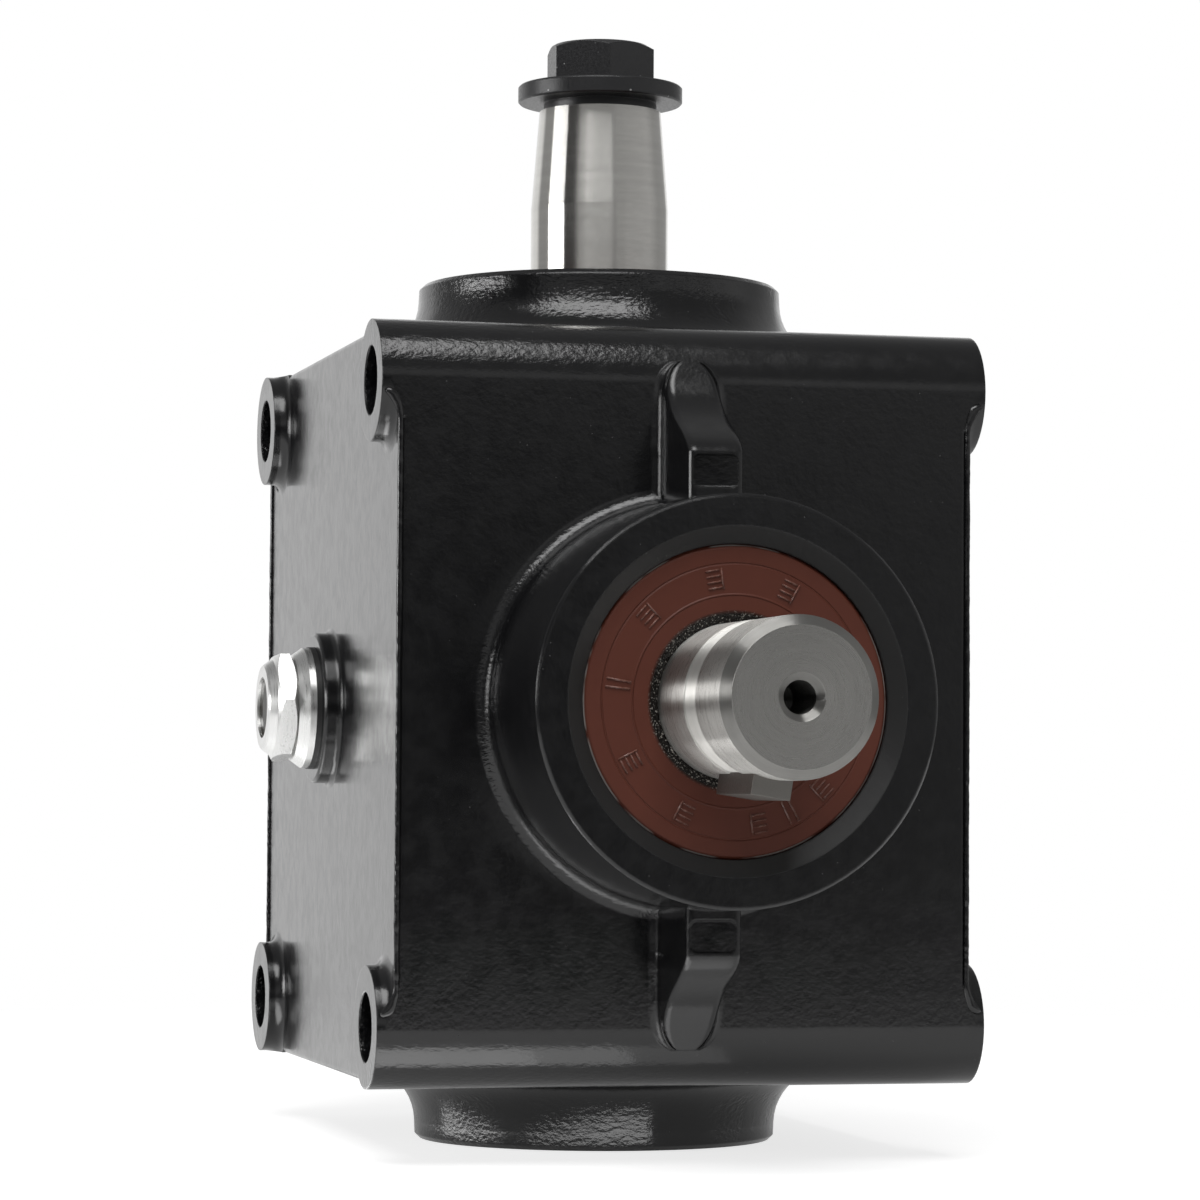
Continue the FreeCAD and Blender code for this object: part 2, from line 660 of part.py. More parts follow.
def cut_bores(body):
    """Bearing and seal bores with their ring grooves, the plug's hole and the bolt holes."""
    front = new_sketch(body, "XY_Plane")
    mouth = d.front_seal_bore + d.mouth_wide
    inner = bore_outline(d.front_seat_hole, d.front_seat_end - d.overlap, d.front_bore, d.front_seat_floor,
                         front_clip, -1)
    outer = [(d.front_bore, -d.front_seal_floor), (d.front_seal_bore, -d.front_seal_floor),
             (d.front_seal_bore, -d.front_reach + d.mouth_deep), (mouth, -d.front_reach), (0, -d.front_reach)]
    draw_outline(front, inner + outer)
    turn(body, front, "Groove")
    for side, hole, clip in ((1, d.top_seat_hole, end_clip),
                             (-1, d.end_bore - d.fine_edge, end_clip + d.shim_thick)):
        end = new_sketch(body, "XZ_Plane")
        inner = bore_outline(hole, d.end_seat_end - d.overlap, d.end_bore, d.end_seat_floor, clip, side)
        draw_outline(end, inner + [(d.end_bore, side * (d.end_reach - d.bore_edge)),
                                   (d.end_bore + d.bore_edge, side * d.end_reach), (0, side * d.end_reach)])
        turn(body, end, "Groove")
    plug = new_sketch(body, "YZ_Plane", -tube_end)
    draw_circle(plug, 0, 0, d.plug_thread)
    extrude(body, plug, "Pocket", tube_end - face_x + d.side_wall + d.overlap, backwards=True)
    hole = new_sketch(body, "YZ_Plane")
    draw_circle(hole, tube_at, tube_at, d.tube_hole_radius)
    bolt_hole = extrude(body, hole, "Pocket", d.tube_length + d.overlap, symmetric=True)
    repeat_round(body, bolt_hole, "X_Axis", BOLT_TUBES)


def soften_casting(body):
    """Fillet at the foot of the plug boss and broken edges on the machined faces."""
    reach = -d.front_reach
    soften(body, "Fillet", "Radius", d.edge_round, lambda edge: is_circle(edge, 0, d.plug_boss, -face_x))
    soften(body, "Chamfer", "Size", d.front_edge, lambda edge: is_circle(edge, 1, d.front_radius, reach))
    soften(body, "Chamfer", "Size", d.front_edge, lambda edge: is_circle(edge, 0, d.plug_boss, -tube_end))


# Bearings, seals and rings

def make_bearing(name, outside, width, count, placement):
    """Tapered roller bearing: its axis starts at the thick end of the inner ring."""
    height = outside - d.bearing_radius
    middle = (outside + d.bearing_radius) / 2
    half = d.roller_share * width / 2
    radius = d.roller_plump * height
    flare = half * tangent(d.roller_point)
    large, small = radius + flare, radius - flare
    cup = middle + (radius + d.roller_gap) / cosine(cup_angle)
    cone = middle - (radius + d.roller_gap) / cosine(cone_angle)
    cup_slope, cone_slope = tangent(cup_angle), tangent(cone_angle)
    centre = width / 2
    turned(f"{name}_outer_ring",
           [(outside, 0), (outside, width), (cup - cup_slope * centre, width), (cup + cup_slope * centre, 0)],
           placement)
    inner_end = inner_ring_length(outside, width)
    flange_face = centre - half * tilt_cos - large * tilt_sin - d.flange_play
    lip_face = inner_end - d.lip_thick
    flange_race = cone + cone_slope * (centre - flange_face)
    lip_race = cone - cone_slope * (lip_face - centre)
    flange, lip = flange_race + d.flange_rise, lip_race + d.lip_rise
    turned(f"{name}_inner_ring",
           [(d.bearing_radius, 0), (flange, 0), (flange, flange_face), (flange_race, flange_face),
            (lip_race, lip_face), (lip, lip_face), (lip, inner_end), (d.bearing_radius, inner_end)],
           placement)
    make_rollers(f"{name}_rollers", middle + half * tilt_sin, centre - half * tilt_cos, large, small,
                 2 * half, count, placement)
    make_cage(f"{name}_cage", middle, centre, half, large, small, count, placement)


def inner_ring_length(outside, width):
    """Axial length of a bearing's inner ring, from its thick end to its thin lip."""
    half = d.roller_share * width / 2
    small = d.roller_plump * (outside - d.bearing_radius) - half * tangent(d.roller_point)
    return width / 2 + half * tilt_cos - small * tilt_sin + d.lip_play + d.lip_thick


def roller_frame(radius, height):
    """Place of a roller's thick end, its axis leaning towards the bearing's axis."""
    lean = FreeCAD.Rotation(Y_AXIS, -d.roller_tilt.value)
    return FreeCAD.Placement(FreeCAD.Vector(radius.value, 0, height.value), lean)


def make_rollers(label, at_radius, at_height, large, small, length, count, placement):
    rollers = []
    for index in range(count):
        roller = doc.addObject("Part::Cone", f"{label}_one")
        bind(roller, "Radius1", large)
        bind(roller, "Radius2", small)
        bind(roller, "Height", length)
        roller.Placement = turned_frame(Z_AXIS, 360 * index / count) * roller_frame(at_radius, at_height)
        rollers.append(roller)
    group = doc.addObject("Part::Compound", label)
    group.Label = label
    group.Links = rollers
    group.Placement = placement
    NODES.append(group)


def make_cage(label, middle, centre, half, large, small, count, placement):
    """Pressed cage: a leaning band with one window for each roller."""
    across = (d.cage_thick / 2 * tilt_cos, d.cage_thick / 2 * tilt_sin)
    start, end = -half - d.cage_rim, half + d.cage_rim
    corners = []
    for along, side in ((start, 1), (end, 1), (end, -1), (start, -1)):
        corners.append((middle - along * tilt_sin + side * across[0],
                        centre + along * tilt_cos + side * across[1]))
    body = turned(label, corners, placement)
    reach = half + d.cage_play
    window = body.newObject("PartDesign::SubtractiveCone", f"{label}_window")
    window.AttachmentSupport = [(origin_item(body, "XY_Plane"), "")]
    window.MapMode = "FlatFace"
    window.AttachmentOffset = roller_frame(middle + reach * tilt_sin, centre - reach * tilt_cos)
    bind(window, "Radius1", large + d.cage_play)
    bind(window, "Radius2", small + d.cage_play)
    bind(window, "Height", 2 * reach)
    settle(body, window, True)
    repeat_round(body, window, "Z_Axis", count)


def make_seal(name, shaft, bore, low, high, placement):
    """Oil seal with a dust lip, a sprung main lip and a hollow back, and its garter spring."""
    clear = shaft + d.running_gap
    web = shaft + d.seal_web
    waist = shaft + d.seal_waist
    shell = bore - d.seal_shell
    lip_low = low + (high - low) * d.seal_lip_share
    dust = high - d.seal_dust
    back = high - d.seal_back
    hollow = high - d.seal_hollow
    turned(name, [(bore, low), (bore, high - d.seal_edge), (bore - d.seal_edge, high),
                  (shaft + d.seal_mouth, high), (clear, dust), (clear, dust - d.seal_land),
                  (waist, hollow), (waist, back), (clear, (lip_low + back) / 2), (waist, lip_low),
                  (web, lip_low), (web, back - d.seal_land), (shell, hollow), (shell, low)],
           placement)
    coil = doc.addObject("Part::Torus", f"{name}_spring")
    coil.Label = f"{name}_spring"
    bind(coil, "Radius1", web + d.spring_radius + d.running_gap)
    bind(coil, "Radius2", d.spring_radius)
    coil.Placement = along(placement, lip_low + d.spring_radius / 2)
    NODES.append(coil)


def make_circlip(label, inner, outer, low, thick, placement):
    """Spring ring with an open gap."""
    body = new_body(label, placement)
    sketch = new_sketch(body, "XZ_Plane")
    high = low + thick
    draw_outline(sketch, [(inner, low), (outer, low), (outer, high), (inner, high)])
    turn(body, sketch, "Revolution", degrees=CIRCLIP_TURN)


# Bevel gears

def tooth_wire(scale):
    """Tooth section square to the pitch cone, on the back cone's rolled-out gear, scaled about the apex."""
    module = d.gear_module.value
    pitch = pitch_radius.value
    rolled = pitch * math.sqrt(2)
    base = rolled * math.cos(PRESSURE_ANGLE)
    tip = rolled + module
    foot = rolled - TOOTH_ROOT * module - TOOTH_SINK
    half_angle = (math.pi * module / 2 - d.gear_backlash.value) / (2 * rolled)
    involute_pitch = math.tan(PRESSURE_ANGLE) - PRESSURE_ANGLE

    def flank(radius):
        slant = math.acos(min(1.0, base / radius))
        return half_angle + involute_pitch - (math.tan(slant) - slant)

    def place(radius, angle):
        rise = radius * math.cos(angle) - rolled
        side = radius * math.sin(angle)
        spot = FreeCAD.Vector(pitch + rise / math.sqrt(2), side, pitch - rise / math.sqrt(2))
        return spot * scale

    radii = [base + (tip - base) * step / FLANK_STEPS for step in range(FLANK_STEPS + 1)]
    right = [place(radius, flank(radius)) for radius in radii]
    left = [place(radius, -flank(radius)) for radius in radii]
    curves = []
    for points in (right, left):
        curve = Part.BSplineCurve()
        curve.interpolate(points)
        curves.append(curve.toShape())
    feet = [place(foot, side * flank(base)) for side in (1, -1)]
    edges = [Part.makeLine(feet[0], right[0]), curves[0], Part.makeLine(right[-1], left[-1]),
             curves[1], Part.makeLine(left[0], feet[1]), Part.makeLine(feet[1], feet[0])]
    return Part.Wire(Part.__sortEdges__(edges))


def make_bevel_gear(label, blank_corners, bore, key_low, key_high, key_side, phase, placement):
    """Straight bevel gear: a keyed turned blank fused with a ring of involute teeth."""
    blank = turned(f"{label}_blank", blank_corners, is_node=False)
    keyway = new_sketch(blank, "YZ_Plane")
    draw_outline(keyway, [(0, key_low), (key_side * (bore + d.inner_key_grip), key_low),
                          (key_side * (bore + d.inner_key_grip), key_high), (0, key_high)])
    extrude(blank, keyway, "Pocket", d.inner_key_wide, symmetric=True)
    cone_distance = pitch_radius.value * math.sqrt(2)
    inner_scale = 1 - d.gear_face.value / cone_distance
    tooth = Part.makeLoft([tooth_wire(1.0), tooth_wire(inner_scale)], True, True)
    count = int(d.gear_teeth.value)
    ring_of_teeth = []
    for index in range(count):
        one = tooth.copy()
        one.rotate(FreeCAD.Vector(), Z_AXIS, phase + 360 * index / count)
        ring_of_teeth.append(one)
    teeth = doc.addObject("Part::Feature", f"{label}_teeth")
    teeth.Shape = Part.makeCompound(ring_of_teeth)
    gear = doc.addObject("Part::MultiFuse", label)
    gear.Label = label
    gear.Shapes = [blank, teeth]
    gear.Placement = placement
    NODES.append(gear)
    doc.recompute()


def root_corner(scale):
    """Root of the teeth as (radius, height), at the large end or scaled towards the apex."""
    drop = d.gear_module * (TOOTH_ROOT / math.sqrt(2))
    return (pitch_radius - drop) * scale, (pitch_radius + drop) * scale


def make_gears():
    inner_scale = 1 - d.gear_face / (pitch_radius * math.sqrt(2))
    large = root_corner(1)
    small = root_corner(inner_scale)
    step = 180 / d.gear_teeth.value
    shoulder = d.front_seat_floor
    make_bevel_gear("pinion",
                    [(d.pinion_seat, d.pinion_front),
                     (small[0] - small[1] + d.pinion_front, d.pinion_front), small, large,
                     (d.pinion_hub, large[1] + large[0] - d.pinion_hub), (d.pinion_hub, d.pinion_hub_end),
                     (d.collar_radius, d.pinion_hub_end), (d.collar_radius, shoulder),
                     (d.pinion_seat, shoulder)],
                    d.pinion_seat, d.pinion_front, shoulder, -1, step - 90 + d.key_turn.value, INPUT)
    make_bevel_gear("crown_gear",
                    [(d.bearing_radius, d.gear_stop),
                     (small[0] - small[1] + d.gear_stop, d.gear_stop), small, large,
                     (d.gear_hub, large[1] + large[0] - d.gear_hub), (d.gear_hub, d.gear_hub_end),
                     (d.bearing_radius, d.gear_hub_end)],
                    d.bearing_radius, d.gear_stop, d.gear_hub_end, 1, 90, DOWN)


# Shafts and keys

def make_key(label, wide, floor, top, low, high, side, placement):
    body = new_body(label, placement)
    sketch = new_sketch(body, "YZ_Plane")
    draw_outline(sketch, [(side * floor, low), (side * top, low), (side * top, high), (side * floor, high)])
    extrude(body, sketch, "Pad", wide, symmetric=True)


def cut_keyway(body, wide, floor, top, low, high, side):
    sketch = new_sketch(body, "YZ_Plane")
    draw_outline(sketch, [(side * floor, low), (side * top, low), (side * top, high), (side * floor, high)])
    extrude(body, sketch, "Pocket", wide, symmetric=True)


def make_input():
    """Input shaft with its keys, spacer and retaining ring; the key side is turned to its rest place."""
    relief = d.input_radius - d.relief_deep
    chamfer = d.input_radius - d.input_end_chamfer
    clip_low = d.pinion_front - d.clip_thin
    groove = d.pinion_seat - d.clip_bite
    shaft = turned("input_shaft",
                   [(0, d.input_nose), (d.pinion_seat - d.fine_edge, d.input_nose),
                    (d.pinion_seat, d.input_nose + d.fine_edge), (d.pinion_seat, clip_low - d.clip_play),
                    (groove, clip_low - d.clip_play), (groove, d.pinion_front),
                    (d.pinion_seat, d.pinion_front),
                    (d.pinion_seat, d.front_seat_floor), (d.bearing_radius, d.front_seat_floor),
                    (d.bearing_radius, front_clip), (d.collar_radius, front_clip),
                    (d.collar_radius, d.input_collar_end), (d.input_radius, d.input_collar_end),
                    (d.input_radius, d.relief_start), (relief, d.relief_start + d.relief_deep),
                    (relief, d.relief_end - d.relief_deep), (d.input_radius, d.relief_end),
                    (d.input_radius, d.input_reach - d.input_end_chamfer), (chamfer, d.input_reach),
                    (d.centre_sink, d.input_reach),
                    (d.centre_hole, d.input_reach - d.centre_sink + d.centre_hole),
                    (d.centre_hole, d.input_reach - d.centre_deep),
                    (0, d.input_reach - d.centre_deep - d.centre_hole / 2)],
                   INPUT)
    key_floor = d.key_top - d.key_wide
    cut_keyway(shaft, d.key_wide, key_floor, d.key_top, d.key_near, d.key_far, -1)
    make_key("input_key", d.key_wide, key_floor, d.key_top, d.key_near, d.key_far, -1, INPUT)
    top = d.pinion_seat + d.inner_key_grip
    floor = top - d.inner_key_wide
    cut_keyway(shaft, d.inner_key_wide, floor, top, d.pinion_key_low, d.pinion_key_high, -1)
    make_key("pinion_key", d.inner_key_wide, floor, top, d.pinion_key_low, d.pinion_key_high, -1, INPUT)
    make_circlip("pinion_circlip", groove + d.clip_fit, d.pinion_seat + d.clip_stand, clip_low,
                 d.clip_thin, INPUT)
    inner_end = inner_ring_length(d.front_bore, d.front_bearing_wide)
    ring("input_inner_spacer", d.bearing_radius, d.input_spacer_radius, d.front_seat_floor + inner_end,
         front_clip - inner_end, FORWARD)
    ring("input_outer_spacer", d.front_bore - d.outer_spacer_thick, d.front_bore,
         d.front_seat_floor + d.front_bearing_wide, front_clip - d.front_bearing_wide, FORWARD)
    make_circlip("input_circlip", d.front_bore - d.clip_reach, d.front_bore + d.clip_groove - d.clip_play,
                 front_clip, d.circlip_thick, FORWARD)


def make_output():
    """Output shaft with its gear key, spacer and rings, and the bolt and washer on its taper."""
    inner_end = d.end_seat_floor + inner_ring_length(d.end_bore, d.end_bearing_wide)
    groove = d.bearing_radius - d.clip_bite
    groove_end = inner_end + d.clip_thin + d.clip_play
    tip = d.bearing_radius - (d.taper_end - d.taper_start) / d.taper_slope
    hole_end = d.taper_end - d.bolt_long
    shaft = turned("output_shaft",
                   [(0, -d.output_foot), (d.bearing_radius - d.shaft_edge, -d.output_foot),
                    (d.bearing_radius, -d.output_foot + d.shaft_edge), (d.bearing_radius, -groove_end),
                    (groove, -groove_end), (groove, -inner_end), (d.bearing_radius, -inner_end),
                    (d.bearing_radius, -d.gear_stop), (d.waist_radius, -d.gear_stop),
                    (d.waist_radius, d.end_seat_end), (d.collar_radius, d.end_seat_end),
                    (d.collar_radius, d.end_seat_floor), (d.bearing_radius, d.end_seat_floor),
                    (d.bearing_radius, d.taper_start), (tip, d.taper_end), (d.bolt_radius, d.taper_end),
                    (d.bolt_radius, hole_end), (0, hole_end - d.bolt_radius / 2)])
    top = d.bearing_radius + d.inner_key_grip
    floor = top - d.inner_key_wide
    cut_keyway(shaft, d.inner_key_wide, floor, top, -d.gear_key_high, -d.gear_key_low, -1)
    make_key("gear_key", d.inner_key_wide, floor, top, -d.gear_key_high, -d.gear_key_low, -1, UP)
    ring("gear_spacer", d.bearing_radius, d.gear_spacer_radius, d.gear_hub_end, d.end_seat_floor, DOWN)
    make_circlip("shaft_circlip", groove + d.clip_fit, d.bearing_radius + d.clip_stand, inner_end,
                 d.clip_thin, DOWN)
    low = d.taper_end + d.washer_hub_thick
    high = low + d.washer_rim_thick
    edge = d.fine_edge
    turned("blade_washer",
           [(d.washer_hole, d.taper_end), (d.washer_hub, d.taper_end), (d.washer_hub, low),
            (d.washer_radius - edge, low), (d.washer_radius, low + edge), (d.washer_radius, high - edge),
            (d.washer_radius - edge, high), (d.washer_hole, high)])
    make_bolt(high)


def make_bolt(seat):
    """Hexagon bolt: chamfered head on the washer and a plain shank down into the shaft."""
    body = new_body("blade_bolt", turned_frame(Z_AXIS, BOLT_TURN))
    head = new_sketch(body, "XY_Plane", seat)
    draw_outline(head, hexagon(d.bolt_flats))
    extrude(body, head, "Pad", d.bolt_head)
    chamfer_hexagon(body, d.bolt_flats, seat + d.bolt_head, 1)
    shank = new_sketch(body, "XZ_Plane")
    end = seat - d.bolt_long
    draw_outline(shank, [(0, end), (d.bolt_radius - d.shaft_edge, end), (d.bolt_radius, end + d.shaft_edge),
                         (d.bolt_radius, seat + d.overlap), (0, seat + d.overlap)])
    turn(body, shank, "Revolution")


def chamfer_hexagon(body, flats, end, side):
    """Take the corners off one end of a hexagon with a shallow cone; side is the way that end faces."""
    sketch = new_sketch(body, "XZ_Plane")
    inner = flats / 2 * HEX_FACE_SHARE
    outer = flats
    drop = side * (outer - inner) * math.tan(HEX_CHAMFER)
    draw_outline(sketch, [(inner, end), (outer, end - drop), (outer, end)])
    turn(body, sketch, "Groove")


# Box fittings

def make_fittings():
    """Seals, rings, shim and end cap in the box."""
    make_seal("input_seal", d.input_radius, d.front_seal_bore, d.front_seal_floor, d.front_seal_face, FORWARD)
    make_seal("output_seal", d.bearing_radius, d.end_bore, d.top_seal_floor, d.top_seal_face, UP)
    clip_inner = d.end_bore - d.clip_reach
    clip_outer = d.end_bore + d.clip_groove - d.clip_play
    make_circlip("output_top_circlip", clip_inner, clip_outer, end_clip, d.circlip_thick, UP)
    make_circlip("output_bottom_circlip", clip_inner, clip_outer, end_clip + d.shim_thick,
                 d.circlip_thick, DOWN)
    ring("gear_shim", clip_inner, d.end_bore, end_clip, end_clip + d.shim_thick, DOWN)
    low, high = d.cap_floor, d.end_reach - d.cap_recess
    rim = d.end_bore - d.cap_rim
    turned("bottom_end_cap",
           [(0, low + d.cap_dish), (rim, low + d.cap_dish), (rim, low), (d.end_bore, low),
            (d.end_bore, high - d.seal_edge), (d.end_bore - d.seal_edge, high), (rim, high),
            (rim - d.cap_dish, high - d.cap_dish), (0, high - d.cap_dish)],
           DOWN)


def make_plug():
    """Sight plug: flanged hexagon body with a glass and a reflector, on its sealing ring."""
    flange = tube_end + d.plug_seal_thick
    shoulder = flange + d.plug_flange_thick
    hex_start = shoulder + d.plug_shoulder_long
    hex_end = hex_start + d.plug_hex_long
    end = hex_end + d.plug_collar_long
    glass = end - d.window_recess
    well = glass - d.window_thick - d.window_gap - d.reflector_thick
    inner = face_x - d.side_wall + d.overlap
    ring("sight_plug_seal", d.plug_seal_inner, d.plug_seal_outer, tube_end, flange, LEFT)
    body = turned("sight_plug_body",
                  [(d.plug_oil_hole, inner), (d.plug_thread, inner), (d.plug_thread, flange),
                   (d.plug_flange, flange), (d.plug_flange, shoulder), (d.plug_shoulder, hex_start),
                   (d.plug_collar, hex_start),
                   (d.plug_collar, hex_end), (d.plug_collar_end, end - d.fine_edge),
                   (d.plug_collar_end - d.fine_edge, end), (d.window_radius, end), (d.window_radius, well),
                   (d.plug_oil_hole, well)],
                  PLUG)
    sketch = new_sketch(body, "XY_Plane", hex_start)
    draw_outline(sketch, hexagon(d.plug_flats))
    draw_circle(sketch, 0, 0, d.window_radius + d.overlap)
    extrude(body, sketch, "Pad", d.plug_hex_long)
    chamfer_hexagon(body, d.plug_flats, hex_end, 1)
    chamfer_hexagon(body, d.plug_flats, hex_start, -1)
    turned("sight_glass", [(0, glass - d.window_thick), (d.window_radius, glass - d.window_thick),
                           (d.window_radius, glass), (0, glass)], LEFT)
    bright = well + d.reflector_thick
    turned("sight_reflector", [(0, well), (d.window_radius, well), (d.window_radius, bright), (0, bright)],
           LEFT)


def finish():
    """Check every object and write one file for each node."""
    doc.recompute()
    for thing in doc.Objects:
        if "Invalid" in thing.State or "Error" in thing.State:
            raise RuntimeError(f"{thing.Label} did not build")
    os.makedirs("parts", exist_ok=True)
    for node in NODES:
        if node.Shape.isNull() or not node.Shape.isValid():
            raise RuntimeError(f"{node.Label} has no valid shape")
        node.Shape.exportStep(f"parts/{node.Label}.step")


make_housing()
for bearing_name, frame in (("output_top", UP), ("output_bottom", DOWN)):
    make_bearing(bearing_name, d.end_bore, d.end_bearing_wide, ROLLERS_LARGE, along(frame, d.end_seat_floor))
for bearing_name, frame in (("input_rear", along(FORWARD, d.front_seat_floor)),
                            ("input_front", along(BACKWARD, -front_clip))):
    make_bearing(bearing_name, d.front_bore, d.front_bearing_wide, ROLLERS_SMALL, frame)
make_gears()
make_input()
make_output()
make_fittings()
make_plug()
finish()
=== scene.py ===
"""Looks of a right-angle mower deck gearbox: black casting, ground shafts, rubber seals, bright plug."""
import math
import random
from collections import namedtuple

import bmesh
import bpy
from mathutils import Matrix, Vector


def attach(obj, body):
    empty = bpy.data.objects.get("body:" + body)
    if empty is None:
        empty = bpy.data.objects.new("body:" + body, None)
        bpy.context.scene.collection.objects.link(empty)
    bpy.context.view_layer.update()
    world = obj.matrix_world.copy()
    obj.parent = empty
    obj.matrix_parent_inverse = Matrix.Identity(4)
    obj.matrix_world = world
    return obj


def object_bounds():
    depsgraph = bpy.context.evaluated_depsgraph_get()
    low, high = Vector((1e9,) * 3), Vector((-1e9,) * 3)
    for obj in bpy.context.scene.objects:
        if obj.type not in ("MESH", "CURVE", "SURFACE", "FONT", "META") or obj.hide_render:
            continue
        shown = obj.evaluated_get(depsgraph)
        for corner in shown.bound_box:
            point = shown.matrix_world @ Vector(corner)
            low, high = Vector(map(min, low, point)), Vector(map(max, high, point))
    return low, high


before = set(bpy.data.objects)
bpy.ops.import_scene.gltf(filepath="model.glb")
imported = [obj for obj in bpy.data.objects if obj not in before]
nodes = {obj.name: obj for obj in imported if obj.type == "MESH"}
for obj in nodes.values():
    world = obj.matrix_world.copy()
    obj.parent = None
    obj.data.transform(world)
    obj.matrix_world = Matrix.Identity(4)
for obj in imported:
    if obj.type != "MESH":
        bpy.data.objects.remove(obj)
cad_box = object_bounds()

MM = 0.001

# Main sizes of the part, in millimetres
TUBE_AT = 53.975
TUBE_RADIUS = 10.3
TUBE_FLARE = 2.0
TUBE_END = 52.4
BLOCK_FACE = TUBE_AT + TUBE_RADIUS
SIDE_FACE = 49.2
SEAL_FACE = 94.5
PLUG_BORE = 5.6
PLUG_MOUTH = -61.3
BEARINGS = ("input_front", "input_rear", "output_top", "output_bottom")

# Where the coat is uneven, as ranges and softness in millimetres, and how strongly
FRONT_HALF = (-6.0, 0.0)
RIPPLE_STRETCHES = ((-31.0, -23.0), (-19.0, 3.0))
RIPPLE_SOFT = 3.0
RIPPLE_HEIGHTS = (66.5, 69.0)
RIPPLE_LEAST = 0.15
RIPPLE_STRENGTH = 0.8
EDGE_HEIGHTS = (55.0, 64.2)
EDGE_SOFT = 1.5
EDGE_DEPTHS = (51.0, 54.0)
EDGE_FADE = (-15.0, 12.0)
EDGE_LEAST = 0.12
EDGE_STRENGTH = 0.34
FOOT_RADII = (33.9, 36.2)
FOOT_RADII_SOFT = 0.4
FOOT_DEPTHS = (-66.4, -63.9)
FOOT_DEPTHS_SOFT = 0.3
FOOT_STRENGTH = 0.5
RIB_SIDES = (6.0, 8.0)
RIB_RADII = (35.5, 80.0)
RIB_SOFT = 0.8
RIB_DEPTHS = (-64.8, -64.3)
RIB_STRENGTH = 0.08
BORE_EDGE = (6.0, 6.2)

# The chamfered mouth that holds the front seal
MOUTH_RADII = (25.0, 28.3)
MOUTH_SOFT = 0.1
MOUTH_DEPTHS = (-94.6, -94.0)
MOUTH_ROUGH = 0.42

# The lip of paint along the upright edges of the box, whose corners are given as signs of x and y
BEAD_CORNERS = ((-1, -1), (1, -1), (1, 1), (-1, 1))
BEAD_REACH = 51.9
BEAD_TURN = 46.6
BEAD_OUT = 3.0
BEAD_CURVE = 1.9
BEAD_SIZE = 0.48
BEAD_SWELL = 0.3
BEAD_STEADY = 0.8
BEAD_SUNK = 0.1
BEAD_NOSE = 1.2
BEAD_BLUNT = 0.01
BEAD_STEPS = 260
BEAD_SIDES = 10
BEAD_SEED = 10

# An oil seal: the radii between which its lip ends, then radius and width of the painted highlight along its
# rim, and of its moulded circles
SEAL_LIP = (14.0, 14.9)
SEAL_RIM_HIGHLIGHT = (25.15, 0.4)
SEAL_RIDGE = (17.2, 0.55)
SEAL_GROOVE = (22.2, 0.5)

# The moulded marks round the front seal: angles in degrees, places from the shaft's axis and sizes
COMB_ANGLES = (137.3, 100.5, 64.4, -150.6, -115.1, -78.6, -43.6)
COMB_LINE = 0.3
SPINE_TURN = -3.6
SPINE_AT = 19.9
SPINE_LENGTH = 3.6
TOOTH_TURN = 0.4
TOOTH_START = 18.5
TOOTH_PITCH = 0.95
TOOTH_LENGTH = 2.5
TOOTH_COUNT = 4
TICK_ANGLES = (172.3, -62.7)
TICK_TURNS = (-1.8, 1.8)
TICK_AT = 19.7
TICK_LENGTH = 4.2
TICK_LINE = 0.34
MARK_HEIGHT = 0.5
MARK_RISE = 0.02
MARK_EDGE = 0.12
MARK_EDGE_STEPS = 3

# Studio levels, where one is white
FRONT_DARK = 0.04
FRONT_DIM = 0.30
FRONT_RIGHT = 0.46
FRONT_LOW = 0.3
FRONT_ABOVE = 0.72
FRONT_UPPER = 0.26
SIDE_LEVEL = 0.38
CEILING = 0.25
WHITE = (1.0, 1.0, 1.0, 1.0)

# Where those levels change, as shares of a direction that point right, back or up
DARK_TO_DIM_RIGHT = (0.18, 0.34)
DIM_TO_BRIGHT_RIGHT = (0.42, 0.6)
LOW_TO_LEVEL_UP = (-0.14, -0.02)
LEVEL_TO_ABOVE_UP = (0.06, 0.2)
ABOVE_TO_UPPER_UP = (0.24, 0.38)
ABOVE_FROM_RIGHT = (-0.84, -0.7)
FRONT_TO_SIDE_BACK = (-0.25, 0.3)
SIDE_TO_CEILING_UP = (0.5, 0.75)
SIDE_TO_WHITE_BACK = (0.7, 0.85)
WHITE_TO_SIDE_UP = (0.3, 0.5)

# The floor: its size, grey and glow to the camera, and the share of that glow in gloss under the box,
# lowered there as painted shade, and off the box
FLOOR_RADIUS = 450.0
FLOOR_GAP = 0.1
FLOOR_SEGMENTS = 96
FLOOR_GREY = (0.5, 0.5, 0.5, 1.0)
FLOOR_GLOW = 0.75
FLOOR_SHADED_UNDER = 0.55
FLOOR_AHEAD = 0.88
FLOOR_CHANGE = (-4.0, 16.0)

# Soft panels of light, in millimetres: where each stands, what it faces, its width and height, its level
Panel = namedtuple("Panel", "place aim size level")
PANELS = {
    "left_panel": Panel(place=(-1200, 45, 160), aim=(0, 0, 50), size=(700, 280), level=9.0),
    "top_panel": Panel(place=(-320, -720, 1100), aim=(-320, -720, 0), size=(1060, 850), level=6.3),
}

# Low panels that show only in the gloss of paint and metal
GLINTS = {
    "left_strip": Panel(place=(-75, -10, -76.5), aim=(-75, -10, 0), size=(34, 90), level=4.5),
    "under_front": Panel(place=(-16.5, -40, -74.2), aim=(-16.5, 0, -59.7), size=(43, 4.5), level=4.0),
    "under_left": Panel(place=(-40, -18.5, -74.2), aim=(0, -18.5, -59.7), size=(25, 4.5), level=4.0),
}

# The low strip along the front of the box, which fades to the right in steps
STRIP_START = Vector((-89.0, -78.0, -76.5))
STRIP_LENGTH = 102.0
STRIP_WIDTH = 22.0
STRIP_LEVEL = 3.0
STRIP_FADE = 2.2
STRIP_STEPS = 6

